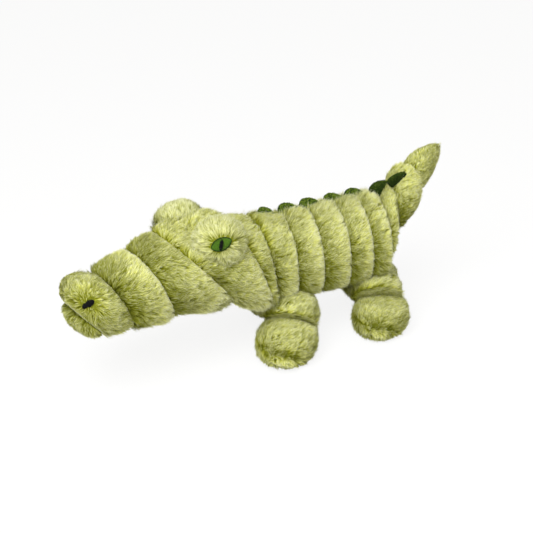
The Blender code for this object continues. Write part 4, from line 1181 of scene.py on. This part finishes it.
spike_seams = body_seams + [tail_one, tail_two]
for number, spike in enumerate(spikes):
    front, back = spike_seams[number], spike_seams[number + 1]
    run, roll = back.place - front.place, math.radians(spike.roll)
    rise = math.atan2(run[2] + back.half_height - front.half_height, run[0])
    outward = np.array([0.0, math.sin(roll), math.cos(roll)])
    reach = mixed(front.half_height, back.half_height, spike.share) + spike.lift * MM
    seat = front.place + run * spike.share + outward * reach
    along = TAILWARD * math.cos(rise) + outward * math.sin(rise)
    side = np.array([0.0, math.cos(roll), -math.sin(roll)])
    skin = spike_skin(seat, along, np.cross(along, side), side, spike.size)
    name = "spike_%d" % (number + 1)
    belong(closed_skin(name + "_felt", skin, FELT_BASE, 14, 40), name)
    # The nap is paler toward each spike's top edge: painted light.
    fuzz = grow_fur(name + "_nap", skin, FELT_PILE, 600 + 10 * number, comb_to(along + UP * 0.4),
                    length=1.6 * MM, spacing=1.1 * MM, blades=6, tuft=0.8 * MM, width=0.40 * MM,
                    lean=(35.0, 75.0),
                    tone=lambda points: spike.tone + 25.0 * ((points - seat) @ outward - 0.005))
    belong(fuzz, name, instead=False)
print("spikes:", len(spikes))

# %% [markdown]
# ## Stitched eyes and nostrils
# The eyes are satin stitch: dozens of threads laid side by side across an almond, with a dark stitched
# rim round them and a black slit on top. The nostrils are black ovals made the same way. A thread is a
# thin closed tube carried along a path, and a whole patch of threads is one array.

# %% Threads
THREAD_SIDES = 6


def threads(name, paths, radius, up, material):
    """Closed tubes along paths (count, stations, 3): rings of six points about each station, pinched shut."""
    count, stations = paths.shape[:2]
    run = unit(np.gradient(paths, axis=1))
    side = unit(np.cross(run, up))
    top = np.cross(side, run)
    angle = np.arange(THREAD_SIDES) / THREAD_SIDES * 2.0 * np.pi
    pinch = np.sin(np.linspace(0.12, np.pi - 0.12, stations)) ** 0.35
    size = (radius * pinch)[None, :, None, None]
    circle = side[:, :, None] * np.cos(angle)[:, None] + top[:, :, None] * np.sin(angle)[:, None]
    points = (paths[:, :, None] + circle * size).reshape(count, -1, 3)
    points = np.concatenate([points, paths[:, :1], paths[:, -1:]], axis=1)
    one = facing_out(points[0], grid_faces(stations, THREAD_SIDES))
    step = points.shape[1]
    faces = [tuple(corner + k * step for corner in face) for k in range(count) for face in one]
    return make_mesh(name, points, faces, material)


def patch_point(patch, a, b, lift, bend):
    """A place on a patch bent over a ball: a and b along its two ways, lifted, less (a^2 + b^2) / 2 bend."""
    rise = lift - (a ** 2 + b ** 2) / (2.0 * bend)
    return patch.middle + np.stack([a, b, rise], axis=-1) @ np.stack([patch.long, patch.short, patch.out])


def satin(name, patch, grow, power, count, lift, bend, radius, material, seed, waist=0.0):
    """Threads side by side across an outline |sin|^power, each with a slightly different length, and
    shorter by the share waist in a dip before the middle, for a bean of two lobes."""
    half_long, half_short = patch.length / 2 + grow[0] * MM, patch.height / 2 + grow[1] * MM
    chance = np.random.default_rng(seed)
    across, place = np.linspace(-1.0, 1.0, STATIONS)[None, :], np.linspace(-0.96, 0.96, count)
    reach = (1.0 - place ** 2) ** (0.5 * power) * half_short * chance.uniform(0.95, 1.04, count)
    b = across * (reach * (1.0 - waist * np.exp(-((place + 0.25) / 0.22) ** 2)))[:, None]
    a = place[:, None] * half_long + THREAD_SHIFT * chance.normal(size=(count, 1)) + b * 0.10
    arch = lift + THREAD_ARCH * (1.0 - across ** 2)
    return threads(name, patch_point(patch, a, b, arch, bend), radius, patch.out, material)


def rim(name, patch, grow, power, lift, bend, radius, material):
    """A stitched rim round the same outline, one closed loop cut into short slanted stitches."""
    half_long, half_short = patch.length / 2 + grow[0] * MM, patch.height / 2 + grow[1] * MM
    angle = np.linspace(0.0, 2.0 * np.pi, 64, endpoint=False)
    rise = np.sign(np.sin(angle)) * np.abs(np.sin(angle)) ** power
    centre = np.stack([np.cos(angle) * half_long, rise * half_short], axis=-1)
    ahead = np.roll(centre, -1, axis=0) - np.roll(centre, 1, axis=0)
    across = unit(np.stack([-ahead[:, 1], ahead[:, 0]], axis=-1)) + unit(ahead) * 0.8
    run = centre[:, None] + across[:, None] * (np.linspace(-0.55, 0.55, 5) * MM)[None, :, None]
    paths = patch_point(patch, run[..., 0], run[..., 1], lift, bend)
    return threads(name, paths, radius, patch.out, material)


def turned(patch, angle):
    """The same patch with its two ways turned in its own plane."""
    c, s = math.cos(math.radians(angle)), math.sin(math.radians(angle))
    return patch._replace(long=patch.long * c + patch.short * s, short=patch.short * c - patch.long * s)


STATIONS, THREAD_SHIFT, THREAD_ARCH = 9, 0.1 * MM, 0.45 * MM
BUMP_BEND, TIP_BEND, PUPIL_TURN = 27.5 * MM, 41.0 * MM, -16.0
IRIS = mottled_finish("Green eye thread", (0.040, 0.100, 0.008), (0.080, 0.165, 0.014), 900.0, 0.5, 0.2)
RIM = mottled_finish("Dark green rim thread", (0.007, 0.024, 0.004), (0.012, 0.036, 0.007), 900.0, 0.5, 0.2)
BLACK = mottled_finish("Black thread", (0.002, 0.002, 0.002), (0.005, 0.005, 0.005), 900.0, 0.6, 0.2)
for side, seed in (("left", 71), ("right", 72)):
    iris, pupil, nostril = ("%s_%s" % (part, side) for part in ("eye_iris", "eye_pupil", "nostril"))
    eye, slit = patches["eye_" + side], turned(patches["pupil_" + side], PUPIL_TURN)
    belong(satin(iris + "_stitch", eye, (-0.3, -0.2), 1.35, 30, 0.9 * MM, BUMP_BEND, 0.48 * MM, IRIS, seed),
           iris)
    belong(rim(iris + "_rim", eye, (-0.2, -0.1), 1.35, 1.1 * MM, BUMP_BEND, 0.55 * MM, RIM),
           iris, instead=False)
    belong(satin(pupil + "_stitch", slit, (0.0, 0.6), 0.8, 16, 0.5 * MM, BUMP_BEND, 0.42 * MM, BLACK,
                 seed + 10), pupil)
    belong(satin(nostril + "_stitch", patches[nostril], (-0.2, -0.1), 1.0, 22, 0.7 * MM, TIP_BEND, 0.45 * MM,
                 BLACK, seed + 20, waist=0.25), nostril)
print("stitched:", [obj.name for obj in bpy.data.objects if "stitch" in obj.name])

# %% [markdown]
# ## The squeaker
# A bulb and its reed sit in a pocket in the middle ring. They are plain moulded plastic.

# %% Squeaker
PLASTIC = mottled_finish("Squeaker plastic", (0.78, 0.78, 0.74), (0.82, 0.82, 0.78), 300.0, 0.4, 0.05)
for name in ("squeaker_bulb", "squeaker_reed"):
    nodes[name].data.materials.clear()
    nodes[name].data.materials.append(PLASTIC)

# %% [markdown]
# ## Light, floor and camera
# The photograph has soft, even light from above and a white ground. A large soft lamp stands over the
# toy's front left, the world fills the rest, and the floor is pale and keeps a faint shadow. World and
# floor look whiter than the light that they give.

# %% Studio


def rays_that_look(tree, links):
    """One for a ray from the camera, a mirror or a glass, and zero for the light that falls on the toy."""
    path, either, more = (tree.new("ShaderNode" + kind) for kind in ("LightPath", "Math", "Math"))
    either.operation = more.operation = "MAXIMUM"
    links.new(path.outputs["Is Camera Ray"], either.inputs[0])
    links.new(path.outputs["Is Glossy Ray"], either.inputs[1])
    links.new(either.outputs[0], more.inputs[0])
    links.new(path.outputs["Is Transmission Ray"], more.inputs[1])
    return more.outputs[0]


WHITE = (1.0, 1.0, 1.0, 1.0)
world = bpy.context.scene.world or bpy.data.worlds.new("Studio")
bpy.context.scene.world = world
world.use_nodes = True
air, air_links = world.node_tree.nodes, world.node_tree.links
air.clear()
shine, white = air.new("ShaderNodeBackground"), air.new("ShaderNodeBackground")
set_sockets(shine, Color=(1.0, 0.99, 0.96, 1.0), Strength=0.64)
set_sockets(white, Color=WHITE, Strength=1.0)
blend_of(air, air_links, rays_that_look(air, air_links), shine, white,
         air.new("ShaderNodeOutputWorld").inputs["Surface"])


def stand_at(place, right, up, back):
    """The matrix of a thing at a place whose right, up and back are three unit vectors."""
    return Matrix(np.vstack([np.column_stack([right, up, back, place]), [0, 0, 0, 1]]).tolist())


def lamp(name, place, aim, size, power):
    """A square soft lamp at a place, aimed at a point."""
    light = bpy.data.lights.new(name, "AREA")
    light.size, light.energy = size, power
    made = bpy.data.objects.new(name, light)
    bpy.context.scene.collection.objects.link(made)
    back = unit(np.asarray(place, float) - np.asarray(aim, float))
    right = unit(np.cross(UP, back))
    made.matrix_world = stand_at(place, right, np.cross(back, right), back)


lamp("key_lamp", (-0.50, -0.75, 1.25), (0.02, 0.0, 0.08), 0.9, 26.0)

GLOW_SHARE, FLOOR_HALF = 0.86, 2.5
floor_finish, tree, links, shader = finish("Pale floor", 0.9)
glow, part = tree.new("ShaderNodeEmission"), tree.new("ShaderNodeMath")
set_sockets(shader, Base_Color=(0.86, 0.86, 0.85, 1.0))
set_sockets(glow, Color=WHITE, Strength=1.0)
part.operation, part.inputs[1].default_value = "MULTIPLY", GLOW_SHARE
links.new(rays_that_look(tree, links), part.inputs[0])
blend_of(tree, links, part.outputs[0], shader, glow, tree["Material Output"].inputs["Surface"])
corners = FLOOR_HALF * np.array([[-1.0, -1.0, 0.0], [1.0, -1.0, 0.0], [1.0, 1.0, 0.0], [-1.0, 1.0, 0.0]])
floor = make_mesh("floor", corners, [(0, 1, 2, 3)], floor_finish)

# %% [markdown]
# ## The camera
# The toy was photographed from its front left and a little above. The camera's turn, height, roll and
# distance were fitted to the places of its seams in the photograph, which is 533 pixels square.

# %% Camera
PIXELS, FOCAL_PIXELS, SCALE, SENSOR = 533.0, 1250.0, 1.15 * MM, 36.0
MIDDLE_X, MIDDLE_Y = 309.0 - PIXELS / 2, 252.0 - PIXELS / 2
height, turn, roll = math.radians(29.0), math.radians(17.0), math.radians(3.0)
view_way = np.array([math.sin(turn) * math.cos(height), math.cos(turn) * math.cos(height), -math.sin(height)])
level_right = np.array([math.cos(turn), -math.sin(turn), 0.0])
level_up = np.cross(level_right, view_way)
cam_right = level_right * math.cos(roll) - level_up * math.sin(roll)
cam_up = level_up * math.cos(roll) + level_right * math.sin(roll)
cam_shift = cam_up * MIDDLE_Y - cam_right * MIDDLE_X - view_way * FOCAL_PIXELS
cam_place = SHIFT + UP * BODY_HEIGHT + cam_shift * SCALE
camera_data = bpy.data.cameras.new("camera")
camera_data.sensor_width, camera_data.lens = SENSOR, FOCAL_PIXELS / PIXELS * SENSOR
camera = bpy.data.objects.new("camera", camera_data)
bpy.context.scene.collection.objects.link(camera)
camera.matrix_world = stand_at(cam_place, cam_right, cam_up, -view_way)
bpy.context.scene.camera = camera
bpy.context.scene.view_settings.view_transform = "Standard"
print("camera at", np.round(cam_place, 3), "lens", round(camera_data.lens, 1))
